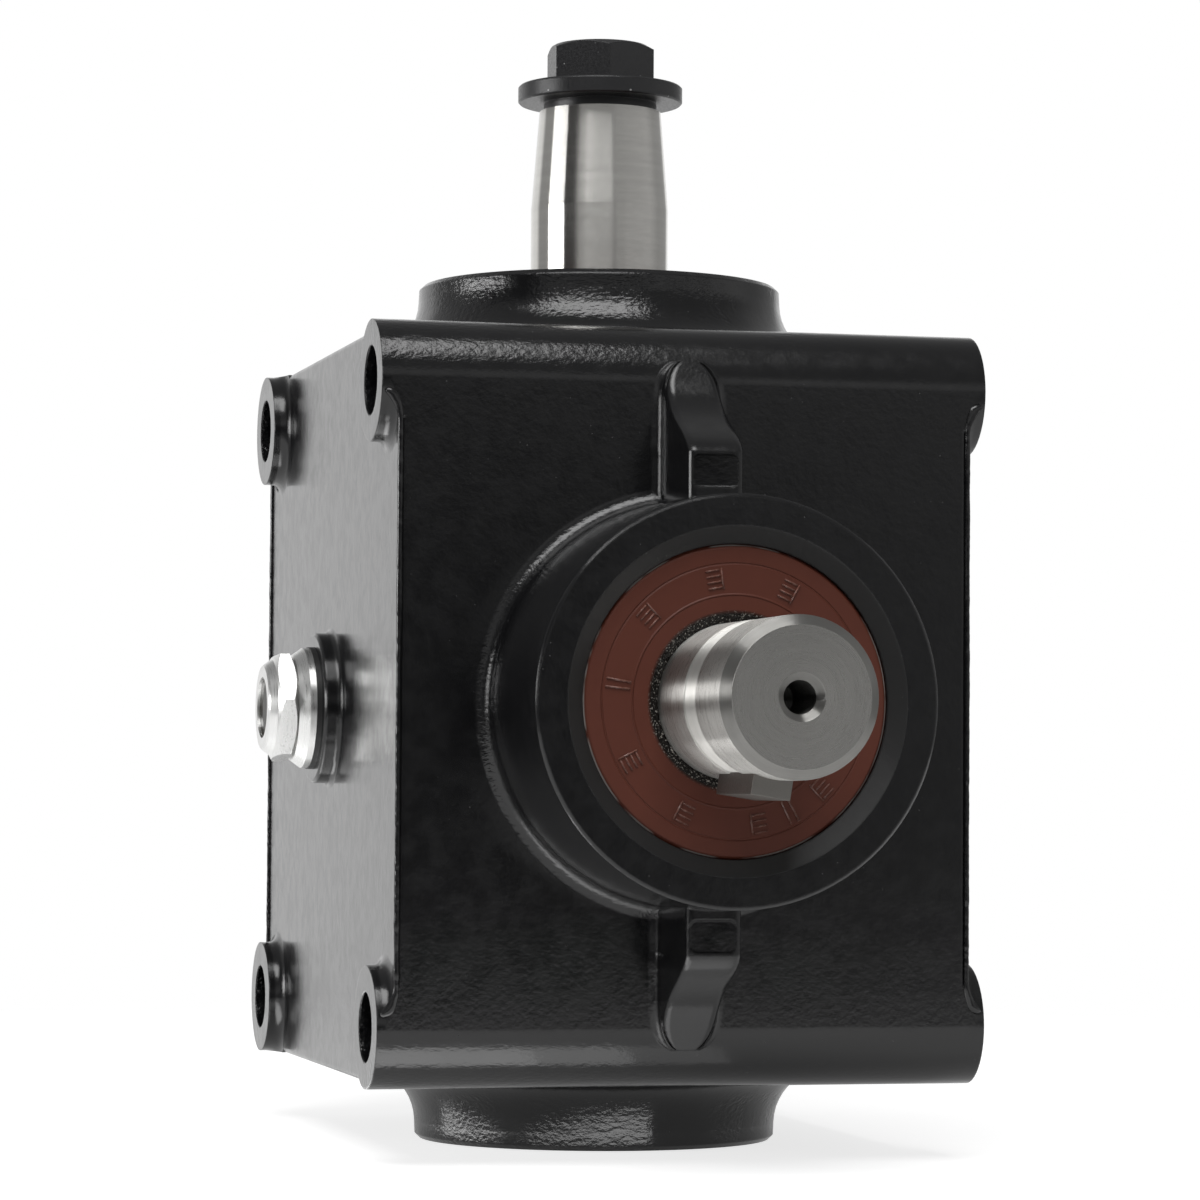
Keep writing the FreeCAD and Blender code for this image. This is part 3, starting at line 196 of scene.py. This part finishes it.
# The photograph's view: place in millimetres, yaw, pitch and roll in degrees, then the lens
CAMERA_PLACE = (-185.514, -759.710, -14.308)
CAMERA_TURN = (-13.7624, 2.5295, -0.3616)
LENS_LENGTH = 128.987
SENSOR_WIDTH = 36.0
CLIP_NEAR = 10.0
CLIP_FAR = 50000.0

# Colours used more than once, the middle of a noise's range, and how far fine rings wander
STEEL = (0.56, 0.55, 0.525)
SEAL_BROWN = (0.094, 0.025, 0.0145)
BLACK_OXIDE = (0.008, 0.008, 0.009)
NOISE_MIDDLE = (0.3, 0.7)
RING_WANDER = 0.04

# A stretch along a turned piece: its ends, shares of tone and roughness, and whether its sheen is straight
Band = namedtuple("Band", "low high tone rough straight", defaults=(False,))
BAND_SOFT = 0.08

# A hole in the end of a turned piece, darkened inside as painted shade: its radius, and where along the axis
# it begins
Hole = namedtuple("Hole", "wall mouth")
HOLE_SOFT = 0.1
HOLE_FADE = 1.0
HOLE_PAINTED_SHADE = 0.2

# A bar of a moulded mark: its angle, the middle's distance from the axis, its length outward and its width
Bar = namedtuple("Bar", "degrees middle length width")


class Nodes:
    """Short calls that add nodes to a shader tree."""

    def __init__(self, tree):
        self.tree = tree

    def add(self, kind, inputs=None, **attributes):
        made = self.tree.nodes.new(kind)
        for key, value in attributes.items():
            setattr(made, key, value)
        for key, value in (inputs or {}).items():
            self.feed(made.inputs[key], value)
        return made

    def feed(self, socket, value):
        if isinstance(value, bpy.types.NodeSocket):
            self.tree.links.new(value, socket)
        else:
            socket.default_value = value

    def axes(self, vector):
        return self.add("ShaderNodeSeparateXYZ", {0: vector}).outputs

    def compute(self, operation, first, second=0.0):
        return self.add("ShaderNodeMath", {0: first, 1: second}, operation=operation).outputs[0]

    def away(self, value):
        return self.compute("ABSOLUTE", value)

    def most(self, *values):
        result = values[0]
        for value in values[1:]:
            result = self.compute("MAXIMUM", result, value)
        return result

    def all_of(self, *values):
        result = values[0]
        for value in values[1:]:
            result = self.compute("MULTIPLY", result, value)
        return result

    def span(self, value, low, high, start=0.0, end=1.0):
        """Follows a value smoothly from one level to another."""
        inputs = {"Value": value, "From Min": low, "From Max": high, "To Min": start, "To Max": end}
        return self.add("ShaderNodeMapRange", inputs, interpolation_type="SMOOTHSTEP").outputs[0]

    def mix(self, factor, first, second):
        return self.add("ShaderNodeMix", {0: factor, 2: first, 3: second}, data_type="FLOAT").outputs[0]


class Finish(Nodes):
    """One procedural material: a main shader and the nodes that feed it, with sizes in millimetres."""

    def __init__(self, name, colour, **settings):
        self.material = bpy.data.materials.new(name)
        self.material.use_nodes = True
        super().__init__(self.material.node_tree)
        self.shader = self.tree.nodes["Principled BSDF"]
        self.to("Base Color", (*colour, 1.0))
        for socket, value in settings.items():
            self.to(socket.replace("_", " "), value)
        self.place = self.add("ShaderNodeTexCoord").outputs["Object"]
        self.x, self.y, self.z = self.axes(self.place)

    def to(self, socket, value):
        self.feed(self.shader.inputs[socket], value)

    def stretched(self, scale):
        return self.add("ShaderNodeMapping", {"Vector": self.place, "Scale": scale}).outputs[0]

    def noise(self, size, detail=2.0, rough=0.5, vector=None):
        inputs = {"Vector": vector or self.place, "Scale": 1.0 / (size * MM),
                  "Detail": detail, "Roughness": rough}
        return self.add("ShaderNodeTexNoise", inputs).outputs["Fac"]

    def cells(self, size):
        inputs = {"Vector": self.place, "Scale": 1.0 / (size * MM)}
        return self.add("ShaderNodeTexVoronoi", inputs).outputs["Distance"]

    def vary(self, noise, start, end):
        """Follows a noise from one level to another over the middle of its range."""
        return self.span(noise, *NOISE_MIDDLE, start, end)

    def blend(self, factor, first, second):
        made = self.add("ShaderNodeMix", {0: factor}, data_type="RGBA")
        for socket, value in ((made.inputs[6], first), (made.inputs[7], second)):
            self.feed(socket, value if isinstance(value, bpy.types.NodeSocket) else (*value, 1.0))
        return made.outputs[2]

    def bump(self, height, depth, strength=1.0, below=None):
        inputs = {"Height": height, "Distance": depth * MM, "Strength": strength}
        if below is not None:
            inputs["Normal"] = below
        return self.add("ShaderNodeBump", inputs).outputs[0]

    def rounded(self, radius):
        """Surface direction with sharp edges broken by a small radius."""
        return self.add("ShaderNodeBevel", {"Radius": radius * MM}, samples=4).outputs[0]

    def radius(self, first, second):
        squares = self.compute("ADD", self.all_of(first, first), self.all_of(second, second))
        return self.compute("SQRT", squares)

    def rise(self, value, low, high):
        return self.span(value, low * MM, high * MM)

    def fall(self, value, low, high):
        return self.span(value, low * MM, high * MM, 1.0, 0.0)

    def between(self, value, low, high, soft):
        """One between two positions, with soft ends."""
        return self.all_of(self.rise(value, low - soft, low + soft),
                           self.fall(value, high - soft, high + soft))

    def ring_line(self, radius, at, width):
        """One at a circle line, falling to nothing half a width away."""
        return self.fall(self.away(self.compute("SUBTRACT", radius, at * MM)), 0.0, width / 2)

    def turn_round(self, axis, straight=None):
        """Draws the sheen round an axis, or straight across where straight is one."""
        tangent = self.add("ShaderNodeTangent", direction_type="RADIAL", axis=axis).outputs[0]
        if straight is not None:
            inputs = {0: straight, 4: tangent, 5: (1.0, 0.0, 0.0)}
            tangent = self.add("ShaderNodeMix", inputs, data_type="VECTOR").outputs[1]
        self.to("Tangent", tangent)


def toned(colour, share):
    """A colour made darker or lighter all over."""
    return [part * share for part in colour]


def coat_patches(finish):
    """Scattered patches where the coat is uneven on any side."""
    return finish.span(finish.noise(12.0), 0.5, 0.62)


def boss_ripples(finish):
    """Ripples in the coat on the end bosses, strongest in two stretches at the front."""
    drawn = finish.most(*(finish.between(finish.x, *ends, RIPPLE_SOFT) for ends in RIPPLE_STRETCHES))
    front = finish.fall(finish.y, *FRONT_HALF)
    where = finish.most(finish.all_of(drawn, front), coat_patches(finish), RIPPLE_LEAST)
    return finish.all_of(where, finish.rise(finish.away(finish.z), *RIPPLE_HEIGHTS), RIPPLE_STRENGTH)


def edge_lumps(finish):
    """Lumps along the long rounded edges, fading to the right at the front."""
    left, right = EDGE_FADE
    fading = finish.span(finish.x, left * MM, right * MM, 1.0, EDGE_LEAST)
    front = finish.fall(finish.y, *FRONT_HALF)
    where = finish.most(finish.all_of(front, fading), coat_patches(finish))
    return finish.all_of(finish.between(finish.away(finish.z), *EDGE_HEIGHTS, EDGE_SOFT),
                         finish.rise(finish.away(finish.y), *EDGE_DEPTHS), where, EDGE_STRENGTH)


def foot_lumps(finish, boss):
    """Lumps of paint gathered at the foot of the front boss."""
    return finish.all_of(finish.between(boss, *FOOT_RADII, FOOT_RADII_SOFT),
                         finish.between(finish.y, *FOOT_DEPTHS, FOOT_DEPTHS_SOFT), FOOT_STRENGTH)


def rib_lumps(finish, boss):
    """Unevenness on the two ribs of the front boss."""
    return finish.all_of(finish.fall(finish.away(finish.x), *RIB_SIDES),
                         finish.between(boss, *RIB_RADII, RIB_SOFT),
                         finish.fall(finish.y, *RIB_DEPTHS), RIB_STRENGTH)


def bore_lumps(finish):
    """Rough cast skin inside the bolt tubes."""
    sides = (finish.away(finish.y), finish.away(finish.z))
    along, up = (finish.compute("SUBTRACT", side, TUBE_AT * MM) for side in sides)
    return finish.fall(finish.radius(along, up), *BORE_EDGE)


def cast_paint():
    """Gloss black enamel on a casting: orange peel on faces, ripples on bosses, lumps at edges."""
    finish = Finish("cast_paint", (0.005, 0.005, 0.0055), Roughness=0.2, IOR=1.5)
    boss = finish.radius(finish.x, finish.z)
    lumps = finish.most(edge_lumps(finish), boss_ripples(finish), foot_lumps(finish, boss),
                        rib_lumps(finish, boss), bore_lumps(finish))
    peel = finish.bump(finish.noise(1.15, rough=0.55), depth=0.02, below=finish.rounded(0.5))
    rolling = finish.noise(0.75, detail=2.5, rough=0.6, vector=finish.stretched((0.55, 1.0, 1.0)))
    finish.to("Normal", finish.bump(rolling, depth=0.2, strength=lumps, below=peel))
    mouth = finish.all_of(finish.between(boss, *MOUTH_RADII, MOUTH_SOFT),
                          finish.fall(finish.y, *MOUTH_DEPTHS))
    gloss = finish.vary(finish.noise(3.0, detail=3.0), 0.15, 0.21)
    finish.to("Roughness", finish.most(gloss, finish.all_of(mouth, MOUTH_ROUGH)))
    dust = finish.all_of(finish.span(finish.cells(1.9), 0.035, 0.06, 1.0, 0.0),
                         finish.span(finish.noise(6.0), 0.5, 0.6))
    coat = finish.blend(finish.noise(18.0, detail=3.0), (0.003, 0.003, 0.0035), (0.006, 0.006, 0.0065))
    finish.to("Base Color", finish.blend(dust, coat, (0.09, 0.09, 0.09)))
    return finish.material


def bead_paint():
    """The same enamel where it gathers into a lip along an edge."""
    finish = Finish("bead_paint", (0.006, 0.006, 0.0065), Roughness=0.18, IOR=1.5)
    uneven = finish.noise(1.4, rough=0.6)
    finish.to("Base Color", finish.blend(uneven, (0.004, 0.004, 0.0045), (0.009, 0.009, 0.0095)))
    finish.to("Roughness", finish.vary(uneven, 0.15, 0.24))
    finish.to("Normal", finish.bump(uneven, depth=0.03))
    return finish.material


def turned_steel(name, axis, colour, rough, line, pull=1.0, bands=(), hole=None):
    """Metal turned or ground round an axis: fine rings with the sheen drawn across them, bands, and painted
    shade inside an end hole where one is given.
    """
    finish = Finish(name, colour, Metallic=1.0, Roughness=rough, Anisotropic=pull,
                    Anisotropic_Rotation=0.25)
    axes = [finish.x, finish.y, finish.z]
    along = axes.pop("XYZ".index(axis))
    radius = finish.radius(*axes)
    wander = finish.all_of(finish.compute("ADD", *axes), RING_WANDER)
    rings = finish.add("ShaderNodeCombineXYZ", {0: radius, 1: along, 2: wander}).outputs[0]
    lines = finish.noise(line, detail=4.0, rough=0.7, vector=rings)
    spread = finish.vary(lines, rough * 0.85, rough * 1.2)
    tone = finish.vary(finish.noise(2.0, detail=3.0, rough=0.6, vector=rings), 0.95, 1.03)
    straight = None
    for band in bands:
        inside = finish.between(along, band.low, band.high, BAND_SOFT)
        tone = finish.all_of(tone, finish.span(inside, 0.0, 1.0, 1.0, band.tone))
        spread = finish.all_of(spread, finish.span(inside, 0.0, 1.0, 1.0, band.rough))
        if band.straight:
            straight = inside
    # Painted shade: the inside of the end hole is darkened.
    if hole is not None:
        inside = finish.all_of(finish.fall(radius, hole.wall - HOLE_SOFT, hole.wall + HOLE_SOFT),
                               finish.rise(along, hole.mouth, hole.mouth + HOLE_FADE))
        tone = finish.all_of(tone, finish.span(inside, 0.0, 1.0, 1.0, HOLE_PAINTED_SHADE))
    finish.turn_round(axis, straight)
    scaled = finish.add("ShaderNodeVectorMath", {0: colour, "Scale": tone}, operation="SCALE")
    finish.to("Base Color", scaled.outputs[0])
    finish.to("Roughness", spread)
    finish.to("Normal", finish.bump(lines, depth=0.0012, strength=0.6))
    return finish.material


def input_shaft_steel():
    """Ground input shaft: rougher chamfer and relief band, finely faced end, and painted shade in the centre
    hole.
    """
    chamfer = Band(low=-131.95, high=-130.4, tone=0.62, rough=1.5)
    relief = Band(low=-116.4, high=-109.2, tone=1.25, rough=1.6)
    end_face = Band(low=-133.0, high=-131.95, tone=0.55, rough=0.95, straight=True)
    return turned_steel("ground_steel_lying", "Y", toned(STEEL, 0.82), rough=0.3, line=0.14,
                        bands=(chamfer, relief, end_face), hole=Hole(wall=2.8, mouth=-131.0))


def plug_steel():
    """Bright turned steel of the sight plug, with painted shade inside the window's bore."""
    bore = Hole(wall=PLUG_BORE, mouth=PLUG_MOUTH)
    return turned_steel("bright_plug", "X", (0.70, 0.70, 0.69), rough=0.3, line=0.2, pull=0.3, hole=bore)


def plain_steel(name, colour, rough):
    """Steel with a fine even surface and broken edges, such as keys, hardened rings, gears and springs."""
    finish = Finish(name, colour, Metallic=1.0, Roughness=rough)
    fine = finish.noise(0.4, detail=3.0, rough=0.6)
    finish.to("Roughness", finish.vary(fine, rough * 0.85, rough * 1.15))
    finish.to("Base Color", finish.blend(finish.noise(6.0, detail=3.0), toned(colour, 0.92), colour))
    finish.to("Normal", finish.bump(fine, depth=0.001, below=finish.rounded(0.2)))
    return finish.material


def black_steel():
    """Blackened bolt and washer steel: dark oxide with a faint grain and a few bright nicks."""
    finish = Finish("black_steel", BLACK_OXIDE, Roughness=0.36, IOR=1.5)
    fine = finish.noise(0.35, detail=3.0, rough=0.6)
    nicks = finish.all_of(finish.span(finish.cells(1.5), 0.10, 0.16, 1.0, 0.0),
                          finish.span(finish.noise(2.5), 0.52, 0.6))
    finish.to("Base Color", finish.blend(nicks, BLACK_OXIDE, (0.25, 0.25, 0.25)))
    finish.to("Roughness", finish.vary(fine, 0.28, 0.42))
    finish.to("Normal", finish.bump(fine, depth=0.010, below=finish.rounded(0.3)))
    return finish.material


def rubber(name, colour, rough):
    """Moulded rubber: matt, faintly grained, a little uneven in tone."""
    finish = Finish(name, colour, Roughness=rough, IOR=1.45)
    fine = finish.noise(0.5, detail=3.0, rough=0.6)
    tone = finish.noise(4.0, detail=3.0, rough=0.6)
    finish.to("Base Color", finish.blend(tone, toned(colour, 0.85), toned(colour, 1.1)))
    finish.to("Roughness", finish.vary(fine, rough * 0.85, rough * 1.15))
    finish.to("Normal", finish.bump(fine, depth=0.012))
    return finish.material


def seal_rubber(name, axis):
    """Brown nitrile face of an oil seal: moulded circle lines, a painted highlight along the rim, and a dark
    gritty lip with pale specks painted as glints.
    """
    finish = Finish(name, SEAL_BROWN, Roughness=0.5, IOR=1.45, Specular_IOR_Level=0.3)
    radius = finish.radius(finish.x, finish.z if axis == "Y" else finish.y)
    tone = finish.blend(finish.noise(5.0, detail=3.0), toned(SEAL_BROWN, 0.9), toned(SEAL_BROWN, 1.08))
    lip = finish.fall(radius, *SEAL_LIP)
    # Painted glints: pale grains scattered on the dark lip.
    painted_glint_grains = finish.span(finish.noise(0.35, rough=0.7), 0.58, 0.66)
    grit_with_painted_glints = finish.blend(painted_glint_grains, (0.010, 0.008, 0.007), (0.42, 0.40, 0.36))
    # Painted highlight: a pale broken line along the seal's outer rim.
    painted_rim_highlight = finish.all_of(finish.ring_line(radius, *SEAL_RIM_HIGHLIGHT), finish.span(finish.noise(7.0), 0.42, 0.55))
    finish.to("Base Color", finish.blend(painted_rim_highlight, finish.blend(lip, tone, grit_with_painted_glints), (0.36, 0.34, 0.32)))
    circles = finish.compute("SUBTRACT", finish.ring_line(radius, *SEAL_RIDGE),
                             finish.ring_line(radius, *SEAL_GROOVE))
    moulded = finish.bump(circles, depth=0.16, below=finish.rounded(0.45))
    grease = finish.bump(finish.noise(0.6, rough=0.6), depth=0.4, strength=lip, below=moulded)
    finish.to("Normal", finish.bump(finish.noise(0.5, detail=3.0, rough=0.6), depth=0.012, below=grease))
    finish.to("Roughness", finish.span(lip, 0.0, 1.0, 0.5, 0.25))
    return finish.material


def mark_rubber():
    """Raised moulding marks on the seal face, shinier in places and paler there as painted highlight."""
    finish = Finish("mark_rubber", (0.11, 0.034, 0.022), Roughness=0.22, IOR=1.5)
    shine_and_painted_highlight = finish.noise(0.8, detail=3.0, rough=0.6)
    # Painted highlight: the paler tone in places stands in for light caught by the marks.
    finish.to("Base Color", finish.blend(shine_and_painted_highlight, (0.10, 0.030, 0.020), (0.22, 0.11, 0.085)))
    finish.to("Roughness", finish.vary(shine_and_painted_highlight, 0.16, 0.32))
    return finish.material


def sight_window():
    """Dark clear window over oil."""
    finish = Finish("sight_window", (0.02, 0.018, 0.014), Roughness=0.06, Specular_IOR_Level=0.01)
    finish.to("Base Color", finish.blend(finish.noise(2.0), (0.012, 0.011, 0.009), (0.03, 0.026, 0.018)))
    finish.to("Roughness", finish.span(finish.noise(0.8, detail=3.0), 0.4, 0.8, 0.05, 0.12))
    return finish.material


def dress(material, *names):
    """Gives every face of the named CAD pieces one material."""
    for name in names:
        for place in nodes[name].material_slots:
            place.material = material


def dress_bearings():
    """Bright rings and rollers with duller cages in all four bearings."""
    bright = ("outer_ring", "inner_ring", "rollers")
    dress(plain_steel("bearing_steel", colour=(0.66, 0.66, 0.66), rough=0.14),
          *(f"{bearing}_{piece}" for bearing in BEARINGS for piece in bright))
    dress(plain_steel("cage_steel", colour=(0.5, 0.48, 0.44), rough=0.35),
          *(f"{bearing}_cage" for bearing in BEARINGS))


def to_piece(name, shape, material):
    """Turns a finished bmesh into a smooth piece that rides on the box."""
    bmesh.ops.recalc_face_normals(shape, faces=shape.faces)
    mesh = bpy.data.meshes.new(name)
    shape.to_mesh(mesh)
    shape.free()
    mesh.materials.append(material)
    for face in mesh.polygons:
        face.use_smooth = True
    made = bpy.data.objects.new(name, mesh)
    bpy.context.collection.objects.link(made)
    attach(made, "box")


def bead_section(height, swell):
    """Centre from the side face, half width and half depth of the paint lip at one height."""
    radius = math.hypot(TUBE_RADIUS, TUBE_AT - abs(height))
    short = min(TUBE_FLARE, max(0.0, TUBE_RADIUS + TUBE_FLARE - radius))
    cast = TUBE_FLARE - math.sqrt(TUBE_FLARE ** 2 - short ** 2)
    share = max(0.0, (abs(height) - BEAD_TURN) / (BEAD_REACH - BEAD_TURN))
    swept = max(cast, BEAD_OUT * share ** BEAD_CURVE)
    nose = max(0.0, abs(height) - BEAD_REACH + BEAD_NOSE) / BEAD_NOSE
    round_end = math.sqrt(max(BEAD_BLUNT, 1.0 - nose ** 2))
    size = BEAD_SIZE * (1.0 + BEAD_SWELL * swell) * round_end
    return (cast + swept) / 2, size + round_end * (swept - cast) / 2, size


def edge_bead(name, side, front, seed, material):
    """Thin uneven lip of paint along an upright edge of the box, swept out to the bolt tubes."""
    chance = random.Random(seed)
    shape = bmesh.new()
    angles = [math.tau * turn / BEAD_SIDES for turn in range(BEAD_SIDES)]
    rings = []
    swell = 0.0
    for step in range(BEAD_STEPS + 1):
        height = BEAD_REACH * (2.0 * step / BEAD_STEPS - 1.0)
        swell = BEAD_STEADY * swell + (1.0 - BEAD_STEADY) * chance.uniform(-1.0, 1.0)
        out, wide, deep = bead_section(height, swell)
        centre = Vector((side * (SIDE_FACE + out), front * (BLOCK_FACE - BEAD_SUNK), height))
        corners = [Vector((wide * math.cos(angle), deep * math.sin(angle), 0.0)) for angle in angles]
        rings.append([shape.verts.new((centre + corner) * MM) for corner in corners])
    for first, second in zip(rings, rings[1:]):
        for turn in range(BEAD_SIDES):
            shape.faces.new((first[turn], first[turn - 1], second[turn - 1], second[turn]))
    for ring in (rings[0], rings[-1]):
        shape.faces.new(ring)
    to_piece(name, shape, material)


def edge_beads():
    """Paint lips on all four upright edges."""
    coat = bead_paint()
    for number, (side, front) in enumerate(BEAD_CORNERS, start=1):
        edge_bead(f"edge_bead_{number}", side, front, BEAD_SEED + number, coat)


def mark_bars():
    """Bars of the marks round the front seal: combs of a spine and teeth, and double ticks."""
    bars = []
    for degrees in COMB_ANGLES:
        bars.append(Bar(degrees + SPINE_TURN, SPINE_AT, SPINE_LENGTH, COMB_LINE))
        for tooth in range(TOOTH_COUNT):
            middle = TOOTH_START + TOOTH_PITCH * tooth
            bars.append(Bar(degrees + TOOTH_TURN, middle, COMB_LINE, TOOTH_LENGTH))
    for degrees in TICK_ANGLES:
        bars += [Bar(degrees + turn, TICK_AT, TICK_LENGTH, TICK_LINE) for turn in TICK_TURNS]
    return bars


def seal_marks(material):
    """Moulded marks round the front seal, as low bars with soft edges."""
    shape = bmesh.new()
    for bar in mark_bars():
        angle = math.radians(bar.degrees)
        outward = Vector((math.cos(angle), 0.0, math.sin(angle)))
        across = Vector((-math.sin(angle), 0.0, math.cos(angle)))
        for corner in bmesh.ops.create_cube(shape, size=1.0)["verts"]:
            place = outward * (bar.middle + corner.co.x * bar.length) + across * corner.co.y * bar.width
            depth = -SEAL_FACE - MARK_RISE + corner.co.z * MARK_HEIGHT
            corner.co = (place + Vector((0.0, depth, 0.0))) * MM
    bmesh.ops.bevel(shape, geom=shape.edges[:], offset=MARK_EDGE * MM, segments=MARK_EDGE_STEPS,
                    affect="EDGES", clamp_overlap=True)
    to_piece("seal_marks", shape, material)


def studio_world():
    """White studio: white behind the part, dim on the camera's side and lighter just above the horizon."""
    world = bpy.data.worlds.new("studio")
    world.use_nodes = True
    bpy.context.scene.world = world
    world.node_tree.nodes.clear()
    sky = Nodes(world.node_tree)
    right, back, up = sky.axes(sky.add("ShaderNodeTexCoord").outputs["Generated"])
    level = sky.span(right, *DARK_TO_DIM_RIGHT, FRONT_DARK, FRONT_DIM)
    level = sky.mix(sky.span(right, *DIM_TO_BRIGHT_RIGHT), level, FRONT_RIGHT)
    level = sky.mix(sky.span(up, *LOW_TO_LEVEL_UP, 1.0, 0.0), level, FRONT_LOW)
    above = sky.all_of(sky.span(up, *LEVEL_TO_ABOVE_UP), sky.span(right, *ABOVE_FROM_RIGHT))
    level = sky.mix(above, level, sky.span(up, *ABOVE_TO_UPPER_UP, FRONT_ABOVE, FRONT_UPPER))
    level = sky.mix(sky.span(back, *FRONT_TO_SIDE_BACK), level, SIDE_LEVEL)
    level = sky.mix(sky.span(up, *SIDE_TO_CEILING_UP), level, CEILING)
    white = sky.all_of(sky.span(back, *SIDE_TO_WHITE_BACK), sky.span(up, *WHITE_TO_SIDE_UP, 1.0, 0.0))
    path = sky.add("ShaderNodeLightPath").outputs
    shine = sky.most(path["Is Glossy Ray"], path["Is Transmission Ray"])
    seen = sky.most(path["Is Camera Ray"], sky.all_of(white, shine))
    strength = sky.mix(seen, sky.mix(white, level, 1.0), 1.0)
    shade = sky.add("ShaderNodeBackground", {"Color": WHITE, "Strength": strength})
    sky.add("ShaderNodeOutputWorld", {"Surface": shade.outputs[0]})


def floor_paper():
    """Pale paper: white to the camera, with a soft shadow, and painted shade under the box in the glow it
    shows in gloss.
    """
    material = bpy.data.materials.new("floor")
    material.use_nodes = True
    material.node_tree.nodes.clear()
    paper = Nodes(material.node_tree)
    across, along, _ = paper.axes(paper.add("ShaderNodeTexCoord").outputs["Object"])
    beside = paper.compute("SUBTRACT", paper.away(across), TUBE_END * MM)
    ahead = paper.compute("SUBTRACT", paper.away(along), BLOCK_FACE * MM)
    inner, outer = FLOOR_CHANGE
    # Painted shade: the glow seen in gloss is dimmer under and near the box.
    clear = paper.span(paper.most(beside, ahead), inner * MM, outer * MM, FLOOR_SHADED_UNDER, FLOOR_AHEAD)
    path = paper.add("ShaderNodeLightPath").outputs
    shine = paper.most(path["Is Glossy Ray"], path["Is Transmission Ray"])
    seen = paper.most(path["Is Camera Ray"], paper.all_of(shine, clear))
    glow = paper.add("ShaderNodeEmission", {"Strength": paper.all_of(seen, FLOOR_GLOW)})
    matt = paper.add("ShaderNodeBsdfDiffuse", {"Color": FLOOR_GREY})
    both = paper.add("ShaderNodeAddShader", {0: matt.outputs[0], 1: glow.outputs[0]})
    paper.add("ShaderNodeOutputMaterial", {"Surface": both.outputs[0]})
    return material


def floor():
    """Round plain floor just under the part."""
    mesh = bpy.data.meshes.new("floor")
    shape = bmesh.new()
    bmesh.ops.create_circle(shape, cap_ends=True, segments=FLOOR_SEGMENTS, radius=FLOOR_RADIUS * MM)
    shape.to_mesh(mesh)
    shape.free()
    mesh.materials.append(floor_paper())
    made = bpy.data.objects.new("floor", mesh)
    lowest, _ = cad_box
    made.location.z = lowest[2] - FLOOR_GAP * MM
    bpy.context.collection.objects.link(made)


def softbox(name, panel):
    """A soft panel of light that is as bright as its level all over, aimed at a point."""
    place, aim = Vector(panel.place) * MM, Vector(panel.aim) * MM
    lamp = bpy.data.lights.new(name, "AREA")
    lamp.shape = "RECTANGLE"
    lamp.size, lamp.size_y = (side * MM for side in panel.size)
    lamp.energy = panel.level * math.pi * lamp.size * lamp.size_y
    made = bpy.data.objects.new(name, lamp)
    made.location = place
    made.rotation_mode = "QUATERNION"
    made.rotation_quaternion = (aim - place).to_track_quat("-Z", "Y")
    made.visible_camera = False
    bpy.context.collection.objects.link(made)
    return made


def glint(name, panel):
    """A soft panel that leaves matt surfaces unlit and shows in the gloss."""
    softbox(name, panel).visible_diffuse = False


def front_strip():
    """Low strip of light along the front of the box, fading to the right."""
    step_length = STRIP_LENGTH / STRIP_STEPS
    for step in range(STRIP_STEPS):
        share = (step + 0.5) / STRIP_STEPS
        place = STRIP_START + Vector((share * STRIP_LENGTH, 0.0, 0.0))
        overhead = Vector((place.x, place.y, 0.0))
        level = STRIP_LEVEL * min(1.0, STRIP_FADE * (1.0 - share))
        glint(f"front_strip_{step + 1}", Panel(place, overhead, (step_length, STRIP_WIDTH), level))


def camera():
    """The photograph's view: long lens, a little to the left, looking slightly up."""
    yaw, pitch, roll = (math.radians(angle) for angle in CAMERA_TURN)
    right = Vector((math.cos(yaw), math.sin(yaw), 0.0))
    level = Vector((-math.sin(yaw), math.cos(yaw), 0.0))
    ahead = level * math.cos(pitch) + Vector((0.0, 0.0, math.sin(pitch)))
    up = right.cross(ahead)
    across = right * math.cos(roll) - up * math.sin(roll)
    above = right * math.sin(roll) + up * math.cos(roll)
    lens = bpy.data.cameras.new("camera")
    lens.sensor_width = SENSOR_WIDTH
    lens.lens = LENS_LENGTH
    lens.clip_start = CLIP_NEAR * MM
    lens.clip_end = CLIP_FAR * MM
    made = bpy.data.objects.new("camera", lens)
    turn = Matrix((across, above, -ahead)).transposed()
    made.matrix_world = Matrix.Translation(Vector(CAMERA_PLACE) * MM) @ turn.to_4x4()
    bpy.context.collection.objects.link(made)
    bpy.context.scene.camera = made


dress(cast_paint(), "housing")
dress(turned_steel("ground_steel_upright", "Z", STEEL, rough=0.2, line=0.12), "output_shaft", "gear_spacer")
dress(input_shaft_steel(), "input_shaft", "input_inner_spacer", "input_outer_spacer")
dress(plain_steel("key_steel", colour=(0.19, 0.182, 0.17), rough=0.42),
      "input_key", "pinion_key", "gear_key")
dress(plain_steel("gear_steel", colour=(0.42, 0.41, 0.40), rough=0.34), "pinion", "crown_gear")
dress(plain_steel("spring_steel", colour=(0.36, 0.36, 0.37), rough=0.3), "input_circlip",
      "output_top_circlip", "output_bottom_circlip", "shaft_circlip", "pinion_circlip", "gear_shim",
      "input_seal_spring", "output_seal_spring")
dress_bearings()
dress(black_steel(), "blade_bolt", "blade_washer")
dress(seal_rubber("seal_rubber", "Y"), "input_seal")
dress(seal_rubber("top_seal_rubber", "Z"), "output_seal")
dress(rubber("cap_rubber", colour=(0.012, 0.012, 0.012), rough=0.6), "bottom_end_cap")
dress(rubber("plug_rubber", colour=(0.010, 0.010, 0.010), rough=0.5), "sight_plug_seal")
dress(plug_steel(), "sight_plug_body", "sight_reflector")
dress(sight_window(), "sight_glass")

edge_beads()
seal_marks(mark_rubber())

studio_world()
floor()
for name, panel in PANELS.items():
    softbox(name, panel)
for name, panel in GLINTS.items():
    glint(name, panel)
front_strip()
camera()
bpy.context.scene.view_settings.view_transform = "Standard"
